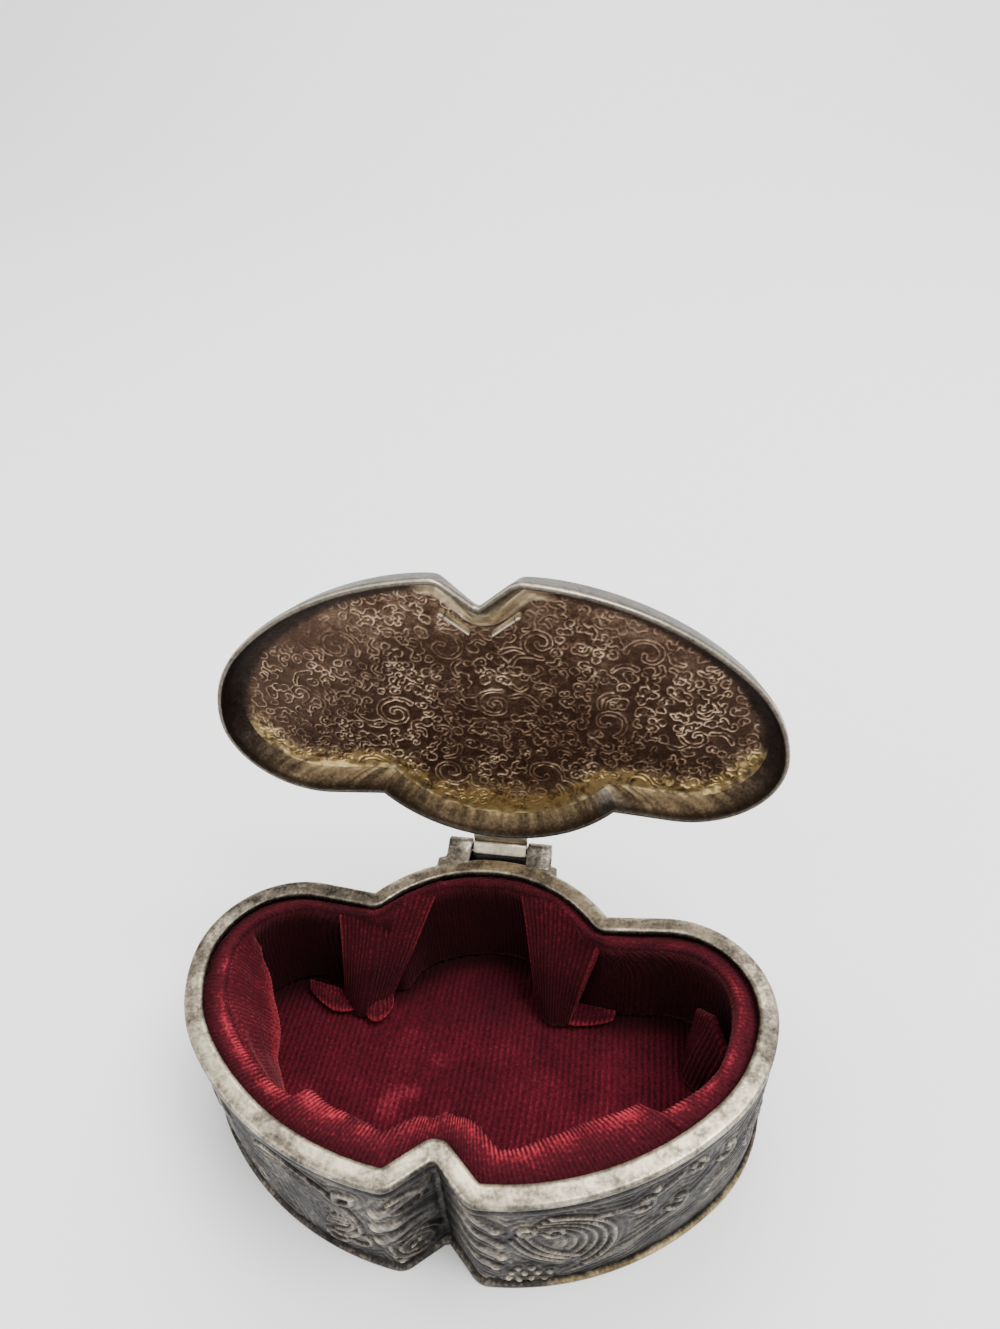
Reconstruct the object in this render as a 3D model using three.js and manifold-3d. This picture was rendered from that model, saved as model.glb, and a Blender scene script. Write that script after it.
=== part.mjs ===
// Trinket box of silver plated cast metal, its outline two joined hearts seen from above.
// Millimetres. +Z is up, the front with its small V notch faces -Y and the hinge is at the back.
// The origin is on the underside, in the middle of the footprint. The lid stands open.
import * as THREE from 'three';
import { mergeVertices } from 'three/addons/utils/BufferGeometryUtils.js';
import Module from 'manifold-3d';

const wasm = await Module();
wasm.setup();

// Plan of the box. The right half is drawn and the left half mirrors it.
const HALF_WIDTH = 54.0;
const BODY_DEPTH = 66.0;
const BACK_LOBE_RADIUS = 29.6;
const SIDE_LOBE_RADIUS = 18.0;
const SIDE_LOBE_FROM_BACK = 28.2;
const SIDE_LOBE_TOP_ANGLE = 95.65;
const SHOULDER_RADIUS = 30.6;
const SHOULDER_START = -6.0;
const SHOULDER_END = -43.3;
const TIP_X = 6.4;
const TIP_ROUND = 4.0;
const FRONT_NOTCH_DEPTH = 5.6;

// Cast base
const BASE_HEIGHT = 30.3;
const WALL = 2.6;
const FLOOR_THICKNESS = 1.6;
const RIM_WIDTH = 3.4;
const RIM_LIP_DEPTH = 1.2;
const RIM_EDGE_HEIGHT = 1.4;
const RIM_EDGE_ROUND = 0.6;
const RIM_TO_BAND = 0.3;
const BAND_HEIGHT = 2.3;
const BAND_INSET = 0.4;
const BAND_SWELL = 0.25;
const FOOT_HEIGHT = 1.0;
const GROUND_INSET = 0.8;
const FIELD_MARGIN = 0.4;
const SIDE_CARVING = 0.75;

// Cast lid
const LID_EDGE_HEIGHT = 0.9;
const LID_SIDE_HEIGHT = 5.2;
const LID_HEIGHT = 8.2;
const LID_WALL = 0.9;
const LID_SHELL = 1.2;
const LID_EDGE_ROUND = 0.25;
const LID_DRAFT = 1.7;
const LID_SHOULDER = 2.4;
const LID_COVE = 4.2;
const LID_COVE_WIDTH = 4.6;
const LID_COVE_TURN = 0.29;
const LID_NOTCH_DIP = 1.6;
const LID_NOTCH_REACH = 9.0;
const LID_NOTCH_STEP = 1.6;
const LID_DOME_FULLNESS = 2.6;
const LID_CARVING = 0.8;
const LID_BORDER_LEAF = 8.9;
const LID_RIM_GAP = 0.3;
const OPEN_ANGLE = 84.6;
const LOCATING_RIDGE_LENGTH = 4.6;
const LOCATING_RIDGE_WIDTH = 0.9;
const LOCATING_RIDGE_HEIGHT = 2.2;
const LOCATING_RIDGE_DROP = 0.6;

// Hinge
const HINGE_HALF_WIDTH = 10.8;
const KNUCKLE_HALF_WIDTH = 5.6;
const BARREL_RADIUS = 1.5;
const AXIS_BEHIND_BODY = 3.0;
const AXIS_BELOW_RIM = 0.35;
const LUG_THICKNESS = 2.4;
const LEAF_THICKNESS = 1.3;
const PIN_RADIUS = 0.5;
const PIN_CLEARANCE = 0.3;
const SIDE_CLEARANCE = 0.3;

// Velvet lining
const LINING_GAP = 0.3;
const FLOOR_PAD = 1.3;
const WALL_PAD = 1.9;
const LINING_BELOW_RIM = 1.5;
const PAD_BACK_STEP = 0.6;
const PAD_TOP_IN = 2.0;
const PAD_NOSE_IN = 3.4;
const PAD_NOSE_DROP = 1.6;
const PAD_FOOT_IN = 1.6;
const FOLD_FOOT = 6.0;
const FOLD_TOP = 1.4;
const FOLD_WIDTH = 7.5;
const FRONT_LEAN = 2.6;
const FRONT_LEAN_FROM_NOTCH = 27.0;
const FRONT_LEAN_WIDTH = 14.0;

// Fineness of the faceted surfaces
const COLUMN_STEP = 3.0;
const CARVED_ROWS = 10;
const LID_RINGS = 10;
const BARREL_SIDES = 14;
const PIN_SIDES = 10;
const ARC_STEP = 0.7;

// Places that follow from the sizes
const BACK_Y = BODY_DEPTH / 2;
const TIP_Y = -BODY_DEPTH / 2;
const CENTRE = new THREE.Vector2(0, BACK_Y - BACK_LOBE_RADIUS);
const HINGE_Y = BACK_Y + AXIS_BEHIND_BODY;
const HINGE_Z = BASE_HEIGHT - AXIS_BELOW_RIM;

function arc(centre, radius, fromAngle, toAngle) {
  const count = Math.max(2, Math.ceil(Math.abs(toAngle - fromAngle) * radius / ARC_STEP));
  const points = [];
  for (let i = 0; i <= count; i += 1) {
    const angle = fromAngle + (toAngle - fromAngle) * i / count;
    points.push(new THREE.Vector2(centre.x + radius * Math.cos(angle), centre.y + radius * Math.sin(angle)));
  }
  return points;
}

function line(from, to) {
  const count = Math.max(1, Math.ceil(from.distanceTo(to) / ARC_STEP));
  return Array.from({ length: count + 1 }, (_, i) => from.clone().lerp(to, i / count));
}

// The arc that leaves a point along a tangent, turning clockwise, and ends at another point.
function arcFromTangent(start, tangent, end) {
  const chord = end.clone().sub(start);
  const normal = new THREE.Vector2(tangent.y, -tangent.x);
  const radius = chord.lengthSq() / (2 * chord.dot(normal));
  const centre = start.clone().addScaledVector(normal, radius);
  const from = Math.atan2(start.y - centre.y, start.x - centre.x);
  let to = Math.atan2(end.y - centre.y, end.x - centre.x);
  if (to > from) to -= 2 * Math.PI;
  return arc(centre, radius, from, to);
}

function roundCorner(corner, towardsA, towardsB, radius) {
  const a = towardsA.clone().sub(corner).normalize();
  const b = towardsB.clone().sub(corner).normalize();
  const half = Math.acos(a.dot(b)) / 2;
  const reach = radius / Math.tan(half);
  const from = corner.clone().addScaledVector(a, reach);
  const to = corner.clone().addScaledVector(b, reach);
  const curve = new THREE.QuadraticBezierCurve(from, corner, to);
  return { reach, points: curve.getPoints(6) };
}

// Where a straight run that leaves a side lobe along a tangent meets the back lobe.
function notchPoint(lobeTop, along) {
  const fromCentre = lobeTop.clone().sub(CENTRE);
  const across = fromCentre.dot(along);
  const inside = across * across - fromCentre.lengthSq() + BACK_LOBE_RADIUS ** 2;
  return lobeTop.clone().addScaledVector(along, -across - Math.sqrt(inside));
}

// Right half of the plan, clockwise from the middle of the back to the V notch in the front.
function halfPlan() {
  const lobe = new THREE.Vector2(HALF_WIDTH - SIDE_LOBE_RADIUS, BACK_Y - SIDE_LOBE_FROM_BACK);
  const topAngle = THREE.MathUtils.degToRad(SIDE_LOBE_TOP_ANGLE);
  const shoulderStart = THREE.MathUtils.degToRad(SHOULDER_START);
  const shoulderEnd = THREE.MathUtils.degToRad(SHOULDER_END);
  const side = arc(lobe, SIDE_LOBE_RADIUS, topAngle, shoulderStart);
  const notch = notchPoint(side[0], new THREE.Vector2(-Math.sin(topAngle), Math.cos(topAngle)));
  const notchAngle = Math.atan2(notch.y - CENTRE.y, notch.x - CENTRE.x);
  const back = arc(CENTRE, BACK_LOBE_RADIUS, Math.PI / 2, notchAngle);
  const away = new THREE.Vector2(Math.cos(shoulderStart), Math.sin(shoulderStart));
  const shoulderCentre = lobe.clone().addScaledVector(away, SIDE_LOBE_RADIUS - SHOULDER_RADIUS);
  const shoulder = arc(shoulderCentre, SHOULDER_RADIUS, shoulderStart, shoulderEnd);
  const tangent = new THREE.Vector2(Math.sin(shoulderEnd), -Math.cos(shoulderEnd));
  const tip = new THREE.Vector2(TIP_X, TIP_Y);
  const heart = arcFromTangent(shoulder[shoulder.length - 1], tangent, tip);
  const vertex = new THREE.Vector2(0, TIP_Y + FRONT_NOTCH_DEPTH);
  const corner = roundCorner(tip, heart[heart.length - 4], vertex, TIP_ROUND);
  const stretches = [
    back,
    line(notch, side[0]),
    side.concat(shoulder.slice(1)).concat(heart.slice(1).filter((p) => p.distanceTo(tip) > corner.reach)),
    corner.points,
    line(corner.points[corner.points.length - 1], vertex),
  ];
  return stretches;
}

const PLAN = halfPlan();
const TIP_CORNER = PLAN[3];
const FLANK = PLAN[4];
const PLAN_POINTS = PLAN.flatMap((stretch, i) => (i === 0 ? stretch : stretch.slice(1)));

function lengths(points) {
  const along = [0];
  for (let i = 1; i < points.length; i += 1) along.push(along[i - 1] + points[i].distanceTo(points[i - 1]));
  return along;
}

const PLAN_LENGTHS = lengths(PLAN_POINTS);
const HALF_LENGTH = PLAN_LENGTHS[PLAN_LENGTHS.length - 1];

function distanceToPlan(x, y) {
  const px = Math.abs(x);
  let best = Infinity;
  for (let i = 1; i < PLAN_POINTS.length; i += 1) {
    const a = PLAN_POINTS[i - 1];
    const b = PLAN_POINTS[i];
    const dx = b.x - a.x;
    const dy = b.y - a.y;
    const t = THREE.MathUtils.clamp(((px - a.x) * dx + (y - a.y) * dy) / (dx * dx + dy * dy), 0, 1);
    best = Math.min(best, Math.hypot(px - a.x - t * dx, y - a.y - t * dy));
  }
  return best;
}

// Evenly spaced stations on each stretch of the half plan, corners kept. Each station knows its
// distance from the V notch along the plan.
function stations(step) {
  const found = [];
  let passed = 0;
  PLAN.forEach((stretch) => {
    const along = lengths(stretch);
    const total = along[along.length - 1];
    const count = Math.max(1, Math.round(total / step));
    for (let k = found.length === 0 ? 0 : 1; k <= count; k += 1) {
      const wanted = total * k / count;
      const i = Math.max(1, along.findIndex((value) => value >= wanted - 1e-9));
      const t = (wanted - along[i - 1]) / (along[i] - along[i - 1]);
      const point = stretch[i - 1].clone().lerp(stretch[i], t);
      found.push({ point, fromNotch: HALF_LENGTH - passed - wanted });
    }
    passed += total;
  });
  return found;
}

// Both halves, clockwise from above, starting at the middle of the back.
function allStations(step) {
  const right = stations(step);
  const left = right.slice(1, -1).reverse();
  const mirrored = left.map((s) => ({ point: new THREE.Vector2(-s.point.x, s.point.y), fromNotch: s.fromNotch }));
  return right.concat(mirrored);
}

// The point on the station's ray from the centre that lies a given distance inside the plan.
function insetPoint(station, inset) {
  if (inset <= 0) return station.point.clone();
  const ray = station.point.clone().sub(CENTRE);
  let low = 0.2;
  let high = 1;
  for (let i = 0; i < 26; i += 1) {
    const middle = (low + high) / 2;
    const x = CENTRE.x + ray.x * middle;
    const y = CENTRE.y + ray.y * middle;
    if (distanceToPlan(x, y) < inset) high = middle;
    else low = middle;
  }
  return CENTRE.clone().addScaledVector(ray, low);
}

// A closed solid skinned over rings of equal count. Each ring is an array of Vector3, clockwise from
// above, listed from the middle of the underside outwards, up and back in over the top.
function skinRings(rings, underCentre, overCentre) {
  const count = rings[0].length;
  const positions = [];
  const indices = [];
  rings.forEach((ring) => ring.forEach((p) => positions.push(p.x, p.y, p.z)));
  const under = positions.length / 3;
  positions.push(underCentre.x, underCentre.y, underCentre.z);
  positions.push(overCentre.x, overCentre.y, overCentre.z);
  for (let r = 0; r + 1 < rings.length; r += 1) {
    for (let i = 0; i < count; i += 1) {
      const a = r * count + i;
      const b = r * count + (i + 1) % count;
      indices.push(a, a + count, b, b, a + count, b + count);
    }
  }
  const last = (rings.length - 1) * count;
  for (let i = 0; i < count; i += 1) {
    const next = (i + 1) % count;
    indices.push(under, i, next);
    indices.push(under + 1, last + next, last + i);
  }
  const geometry = new THREE.BufferGeometry();
  geometry.setAttribute('position', new THREE.Float32BufferAttribute(positions, 3));
  geometry.setIndex(indices);
  return geometry;
}

// Rings that close on themselves, for a band that has no middle.
function skinLoop(rings) {
  const count = rings[0].length;
  const positions = rings.flatMap((ring) => ring.flatMap((p) => [p.x, p.y, p.z]));
  const indices = [];
  for (let r = 0; r < rings.length; r += 1) {
    const here = r * count;
    const there = ((r + 1) % rings.length) * count;
    for (let i = 0; i < count; i += 1) {
      const next = (i + 1) % count;
      indices.push(here + i, there + i, here + next, here + next, there + i, there + next);
    }
  }
  const geometry = new THREE.BufferGeometry();
  geometry.setAttribute('position', new THREE.Float32BufferAttribute(positions, 3));
  geometry.setIndex(indices);
  return geometry;
}

function ring(stationList, inset, z) {
  return stationList.map((station) => {
    const p = insetPoint(station, inset);
    return new THREE.Vector3(p.x, p.y, z);
  });
}

function toSolid(geometry) {
  const bare = geometry.clone();
  bare.deleteAttribute('normal');
  bare.deleteAttribute('uv');
  const merged = mergeVertices(bare, 1e-4);
  return new wasm.Manifold(new wasm.Mesh({
    numProp: 3,
    vertProperties: new Float32Array(merged.attributes.position.array),
    triVerts: new Uint32Array(merged.index.array),
  }));
}

function toGeometry(solid) {
  const mesh = solid.getMesh();
  const geometry = new THREE.BufferGeometry();
  geometry.setAttribute('position', new THREE.Float32BufferAttribute(mesh.vertProperties, 3));
  geometry.setIndex(new THREE.Uint32BufferAttribute(mesh.triVerts, 1));
  return geometry;
}

// Carving is a set of raised strokes and knobs. A stroke is a run of points in the plane of its
// surface with a half width; its section is a rounded ridge that fades at both ends.
function curl(x, y, radius, start, sweep, shrink, halfWidth) {
  const points = [];
  const steps = Math.max(4, Math.ceil(Math.abs(sweep) / 20));
  for (let i = 0; i <= steps; i += 1) {
    const t = i / steps;
    const angle = THREE.MathUtils.degToRad(start + sweep * t);
    const r = radius * (1 + (shrink - 1) * t);
    points.push([x + r * Math.cos(angle), y + r * Math.sin(angle)]);
  }
  return { points, halfWidth };
}

function sway(from, to, bow, halfWidth) {
  const dx = to[0] - from[0];
  const dy = to[1] - from[1];
  const points = [];
  for (let i = 0; i <= 6; i += 1) {
    const t = i / 6;
    const lift = bow * Math.sin(Math.PI * t);
    points.push([from[0] + dx * t - dy * lift, from[1] + dy * t + dx * lift]);
  }
  return { points, halfWidth };
}

function knob(x, y, radius) {
  return { points: [[x, y], [x + 0.01, y]], halfWidth: radius };
}

function carvedHeight(strokes, x, y) {
  let height = 0;
  strokes.forEach(({ points, halfWidth }) => {
    for (let i = 1; i < points.length; i += 1) {
      const [ax, ay] = points[i - 1];
      const [bx, by] = points[i];
      const dx = bx - ax;
      const dy = by - ay;
      const t = THREE.MathUtils.clamp(((x - ax) * dx + (y - ay) * dy) / (dx * dx + dy * dy), 0, 1);
      const away = Math.hypot(x - ax - t * dx, y - ay - t * dy) / halfWidth;
      if (away < 1) height = Math.max(height, Math.sqrt(1 - away * away));
    }
  });
  return height;
}

// Carving of the side, laid out in shares of the carved field's height. x runs along the plan from
// the V notch and y is the height above the underside. Tongues fall from the V notch over the tip,
// then come a cluster of beads, a big swirl with its bud, long leaves, and a running scroll.
function sideStrokes(fieldLow, fieldHigh) {
  const tall = fieldHigh - fieldLow;
  const tip = lengths(FLANK).at(-1) + lengths(TIP_CORNER).at(-1) / 2;
  const at = (along, up) => [tip + along * tall, fieldLow + up * tall];
  const strokes = [];
  for (let k = 0; k < 3; k += 1) {
    const start = 0.95 - 0.28 * k;
    strokes.push(sway([0.5, fieldLow + start * tall], at(0.08, start - 0.2), -0.12, 0.085 * tall));
  }
  for (let k = 0; k < 6; k += 1) {
    const angle = k * Math.PI / 3;
    strokes.push(knob(...at(0.27 + 0.1 * Math.cos(angle), 0.15 + 0.09 * Math.sin(angle)), 0.06 * tall));
  }
  strokes.push(curl(...at(0.56, 0.54), 0.4 * tall, 150, -300, 0.6, 0.075 * tall));
  strokes.push(curl(...at(0.56, 0.54), 0.19 * tall, 150, -250, 0.6, 0.065 * tall));
  strokes.push(knob(...at(0.24, 0.68), 0.09 * tall));
  for (let k = 0; k < 3; k += 1) {
    strokes.push(sway(at(0.84 + 0.08 * k, 0.1 + 0.13 * k), at(1.95, 0.42 + 0.12 * k), -0.12, 0.065 * tall));
  }
  strokes.push(knob(...at(1.08, 0.82), 0.1 * tall));
  strokes.push(knob(...at(1.45, 0.88), 0.09 * tall));
  const waveStart = tip + 2.45 * tall;
  const waveEnd = HALF_LENGTH - HINGE_HALF_WIDTH - 0.3 * tall;
  const waves = Math.max(1, Math.round((waveEnd - waveStart) / (0.72 * tall)));
  const pitch = (waveEnd - waveStart) / waves;
  for (let k = 0; k <= waves; k += 1) {
    const x = waveStart + pitch * k;
    const up = k % 2 === 0 ? 1 : -1;
    const middle = fieldLow + tall / 2;
    const low = middle - up * 0.34 * tall;
    strokes.push(curl(x, middle + up * 0.1 * tall, 0.32 * tall, up * 200, up * -400, 0.3, 0.07 * tall));
    strokes.push(sway([x + 0.25 * pitch, low], [x + 0.85 * pitch, low + up * 0.1 * tall], up * 0.3, 0.065 * tall));
  }
  return strokes;
}

// Carving of the lid's top, in plan, mirrored about x = 0 and laid out in shares of the box's depth:
// a flower in the middle, scrolls in each heart and leaves along the edges.
function lidStrokes() {
  const at = (across, up) => [across * BODY_DEPTH, CENTRE.y + up * BODY_DEPTH];
  const strokes = [knob(...at(0, 0), 0.075 * BODY_DEPTH)];
  for (let k = 0; k < 8; k += 1) {
    const angle = (k + 0.5) * Math.PI / 4;
    const inner = at(0.085 * Math.cos(angle), 0.075 * Math.sin(angle));
    const outer = at(0.18 * Math.cos(angle), 0.15 * Math.sin(angle));
    strokes.push(sway(inner, outer, 0.15, 0.04 * BODY_DEPTH));
  }
  [[0.5, 0.02, 0.2, 1], [0.24, 0.3, 0.1, -1], [0.29, -0.29, 0.12, -1]].forEach(([x, y, radius, turn]) => {
    strokes.push(curl(...at(x, y), radius * BODY_DEPTH, 190 * turn, -430 * turn, 0.3, 0.036 * BODY_DEPTH));
  });
  strokes.push(sway(at(0.18, -0.06), at(0.66, -0.2), -0.3, 0.034 * BODY_DEPTH));
  strokes.push(sway(at(0.07, -0.4), at(0.66, -0.26), -0.18, 0.03 * BODY_DEPTH));
  strokes.push(sway(at(0.7, 0.12), at(0.4, 0.22), -0.2, 0.03 * BODY_DEPTH));
  return strokes;
}

function cylinderAlongX(radius, sides, fromX, toX) {
  const geometry = new THREE.CylinderGeometry(radius, radius, toX - fromX, sides);
  geometry.rotateZ(Math.PI / 2);
  geometry.translate((fromX + toX) / 2, 0, 0);
  return geometry;
}

function box(fromX, toX, fromY, toY, fromZ, toZ) {
  const geometry = new THREE.BoxGeometry(toX - fromX, toY - fromY, toZ - fromZ);
  geometry.translate((fromX + toX) / 2, (fromY + toY) / 2, (fromZ + toZ) / 2);
  return geometry;
}

function makeBaseShell() {
  const list = allStations(COLUMN_STEP);
  const bandTop = BASE_HEIGHT - RIM_EDGE_HEIGHT - RIM_TO_BAND;
  const bandLow = bandTop - BAND_HEIGHT;
  const fieldLow = FOOT_HEIGHT + FIELD_MARGIN;
  const fieldHigh = bandLow - FIELD_MARGIN;
  const strokes = sideStrokes(fieldLow, fieldHigh);
  const rings = [
    ring(list, 0, 0),
    ring(list, 0, FOOT_HEIGHT),
    ring(list, GROUND_INSET, fieldLow),
  ];
  for (let r = 1; r < CARVED_ROWS; r += 1) {
    const z = fieldLow + (fieldHigh - fieldLow) * r / CARVED_ROWS;
    rings.push(list.map((station) => {
      const height = SIDE_CARVING * carvedHeight(strokes, station.fromNotch, z);
      const p = insetPoint(station, GROUND_INSET - height);
      return new THREE.Vector3(p.x, p.y, z);
    }));
  }
  rings.push(
    ring(list, GROUND_INSET, fieldHigh),
    ring(list, BAND_INSET, bandLow),
    ring(list, BAND_INSET - BAND_SWELL, (bandLow + bandTop) / 2),
    ring(list, BAND_INSET, bandTop),
    ring(list, 0, BASE_HEIGHT - RIM_EDGE_HEIGHT),
    ring(list, 0, BASE_HEIGHT - RIM_EDGE_ROUND),
    ring(list, RIM_EDGE_ROUND, BASE_HEIGHT),
    ring(list, RIM_WIDTH, BASE_HEIGHT),
    ring(list, RIM_WIDTH, BASE_HEIGHT - RIM_LIP_DEPTH),
    ring(list, WALL, BASE_HEIGHT - RIM_LIP_DEPTH - (RIM_WIDTH - WALL)),
    ring(list, WALL, FLOOR_THICKNESS),
  );
  const under = new THREE.Vector3(CENTRE.x, CENTRE.y, 0);
  const over = new THREE.Vector3(CENTRE.x, CENTRE.y, FLOOR_THICKNESS);
  return skinRings(rings, under, over);
}

function makeBase() {
  let solid = toSolid(makeBaseShell());
  const slotHalf = KNUCKLE_HALF_WIDTH + SIDE_CLEARANCE;
  [[-HINGE_HALF_WIDTH, -slotHalf], [slotHalf, HINGE_HALF_WIDTH]].forEach(([fromX, toX]) => {
    const lugRoot = BACK_Y - WALL;
    const lug = box(fromX, toX, lugRoot, HINGE_Y, BASE_HEIGHT - LUG_THICKNESS, BASE_HEIGHT);
    const barrel = cylinderAlongX(BARREL_RADIUS, BARREL_SIDES, fromX, toX);
    barrel.translate(0, HINGE_Y, HINGE_Z);
    solid = solid.add(toSolid(lug)).add(toSolid(barrel));
  });
  const bore = cylinderAlongX(PIN_RADIUS + PIN_CLEARANCE, PIN_SIDES, -HINGE_HALF_WIDTH - 1, HINGE_HALF_WIDTH + 1);
  bore.translate(0, HINGE_Y, HINGE_Z);
  return toGeometry(solid.subtract(toSolid(bore)));
}

// The lid is drawn shut, its edge on the rim's plane at z = 0, then turned open about the hinge. Its
// side leans in, and over the V notch its top dips.
function makeLidShell() {
  const list = allStations(COLUMN_STEP);
  const strokes = lidStrokes();
  const field = ring(list, LID_SHOULDER, 0);
  const border = list.map((s) => 0.5 + 0.5 * Math.cos(2 * Math.PI * s.fromNotch / LID_BORDER_LEAF));
  const dip = list.map((s) => LID_NOTCH_DIP * Math.exp(-((s.fromNotch / LID_NOTCH_REACH) ** 2)));
  const dipped = (points) => points.map((p, i) => new THREE.Vector3(p.x, p.y, p.z - dip[i]));
  const domeBase = LID_SIDE_HEIGHT + (LID_SHOULDER - LID_DRAFT) * 0.8;
  const ceiling = domeBase - LID_SHELL;
  const rings = [
    ring(list, LID_WALL + LID_COVE_WIDTH + LID_NOTCH_STEP, ceiling),
    dipped(ring(list, LID_WALL + LID_COVE_WIDTH, ceiling)),
    dipped(ring(list, LID_WALL + LID_COVE_WIDTH * LID_COVE_TURN, ceiling - LID_COVE * LID_COVE_TURN)),
    ring(list, LID_WALL, Math.max(LID_EDGE_ROUND, ceiling - LID_COVE)),
    ring(list, LID_WALL, 0),
    ring(list, LID_EDGE_ROUND, 0),
    ring(list, 0, LID_EDGE_ROUND),
    ring(list, 0, LID_EDGE_HEIGHT),
    dipped(ring(list, LID_DRAFT, LID_SIDE_HEIGHT)),
    dipped(ring(list, LID_SHOULDER, domeBase)),
  ];
  const rise = LID_HEIGHT - LID_CARVING - domeBase;
  for (let r = 1; r < LID_RINGS; r += 1) {
    const share = 1 - r / LID_RINGS;
    rings.push(field.map((p, i) => {
      const x = CENTRE.x + (p.x - CENTRE.x) * share;
      const y = CENTRE.y + (p.y - CENTRE.y) * share;
      const leaf = r <= 2 ? border[i] / r : 0;
      const carved = LID_CARVING * Math.max(leaf, carvedHeight(strokes, Math.abs(x), y));
      const low = dip[i] * Math.max(0, 1 - 0.4 * r);
      return new THREE.Vector3(x, y, domeBase + rise * (1 - share ** LID_DOME_FULLNESS) + carved - low);
    }));
  }
  const under = new THREE.Vector3(CENTRE.x, CENTRE.y, ceiling + rise * 0.5);
  const over = new THREE.Vector3(CENTRE.x, CENTRE.y, LID_HEIGHT);
  return { shell: skinRings(rings, under, over), ceiling };
}

// Short raised ridges inside the lid, along the V notch, that find the inner edge of the rim.
function locatingRidge(side, ceiling) {
  const vertex = new THREE.Vector2(0, TIP_Y + FRONT_NOTCH_DEPTH);
  const flank = Math.atan2(TIP_Y - vertex.y, TIP_X);
  const place = new THREE.Vector2(TIP_X * 0.62, (vertex.y + TIP_Y) / 2);
  const inward = new THREE.Vector2(-Math.sin(flank), Math.cos(flank));
  place.addScaledVector(inward, RIM_WIDTH + LOCATING_RIDGE_WIDTH);
  const ridge = new THREE.BoxGeometry(LOCATING_RIDGE_LENGTH, LOCATING_RIDGE_WIDTH, LOCATING_RIDGE_HEIGHT);
  ridge.rotateZ(flank * side);
  ridge.translate(place.x * side, place.y, ceiling - LOCATING_RIDGE_DROP - LOCATING_RIDGE_HEIGHT / 2);
  return ridge;
}

function makeLid() {
  const { shell, ceiling } = makeLidShell();
  let solid = toSolid(shell);
  [-1, 1].forEach((side) => {
    solid = solid.add(toSolid(locatingRidge(side, ceiling)));
  });
  solid = toSolid(toGeometry(solid).translate(0, 0, BASE_HEIGHT + LID_RIM_GAP));
  const leafLow = BASE_HEIGHT + LID_RIM_GAP;
  const leaf = box(
    -KNUCKLE_HALF_WIDTH, KNUCKLE_HALF_WIDTH, BACK_Y - LID_WALL / 2, HINGE_Y, leafLow, leafLow + LEAF_THICKNESS,
  );
  const knuckle = cylinderAlongX(BARREL_RADIUS, BARREL_SIDES, -KNUCKLE_HALF_WIDTH, KNUCKLE_HALF_WIDTH);
  knuckle.translate(0, HINGE_Y, HINGE_Z);
  const bore = cylinderAlongX(
    PIN_RADIUS + PIN_CLEARANCE, PIN_SIDES, -KNUCKLE_HALF_WIDTH - 1, KNUCKLE_HALF_WIDTH + 1,
  );
  bore.translate(0, HINGE_Y, HINGE_Z);
  solid = solid.add(toSolid(leaf)).add(toSolid(knuckle)).subtract(toSolid(bore));
  return toGeometry(solid).translate(0, -HINGE_Y, -HINGE_Z);
}

function makeHingePin() {
  return cylinderAlongX(PIN_RADIUS, PIN_SIDES, -HINGE_HALF_WIDTH, HINGE_HALF_WIDTH);
}

const LINING_FLOOR_LOW = FLOOR_THICKNESS + LINING_GAP;
const LINING_WALL_LOW = LINING_FLOOR_LOW + FLOOR_PAD + LINING_GAP;

function makeLiningFloor() {
  const list = allStations(COLUMN_STEP);
  const inset = WALL + LINING_GAP;
  const rings = [
    ring(list, inset, LINING_FLOOR_LOW),
    ring(list, inset, LINING_FLOOR_LOW + FLOOR_PAD),
  ];
  const under = new THREE.Vector3(CENTRE.x, CENTRE.y, LINING_FLOOR_LOW);
  const over = new THREE.Vector3(CENTRE.x, CENTRE.y, LINING_FLOOR_LOW + FLOOR_PAD);
  return skinRings(rings, under, over);
}

// How far the velvet stands in from the wall beyond its own thickness, at a level from 0 at its foot
// to 1 at its top: at the two back notches its foot is gathered inwards, and along the front its top
// leans in.
function liningBulge(station, level) {
  const notchFrom = HALF_LENGTH - PLAN_LENGTHS[PLAN[0].length - 1];
  const atNotch = Math.exp(-(((station.fromNotch - notchFrom) / FOLD_WIDTH) ** 2));
  const atFront = Math.exp(-(((station.fromNotch - FRONT_LEAN_FROM_NOTCH) / FRONT_LEAN_WIDTH) ** 2));
  return THREE.MathUtils.lerp(FOLD_FOOT, FOLD_TOP, level) * atNotch + FRONT_LEAN * atFront * level;
}

function makeLiningWall() {
  const list = allStations(COLUMN_STEP);
  const outer = WALL + LINING_GAP;
  const top = BASE_HEIGHT - LINING_BELOW_RIM;
  const innerRing = (extra, z, level) => list.map((station) => {
    const p = insetPoint(station, outer + extra + liningBulge(station, level));
    return new THREE.Vector3(p.x, p.y, z);
  });
  const rings = [
    ring(list, outer, LINING_WALL_LOW),
    ring(list, outer, top - RIM_LIP_DEPTH - PAD_BACK_STEP),
    innerRing(PAD_TOP_IN, top, 1),
    innerRing(PAD_NOSE_IN, top - PAD_NOSE_DROP, 1),
    innerRing(WALL_PAD, (top + LINING_WALL_LOW) / 2, 0.5),
    innerRing(PAD_FOOT_IN, LINING_WALL_LOW, 0),
  ];
  return skinLoop(rings);
}

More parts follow.
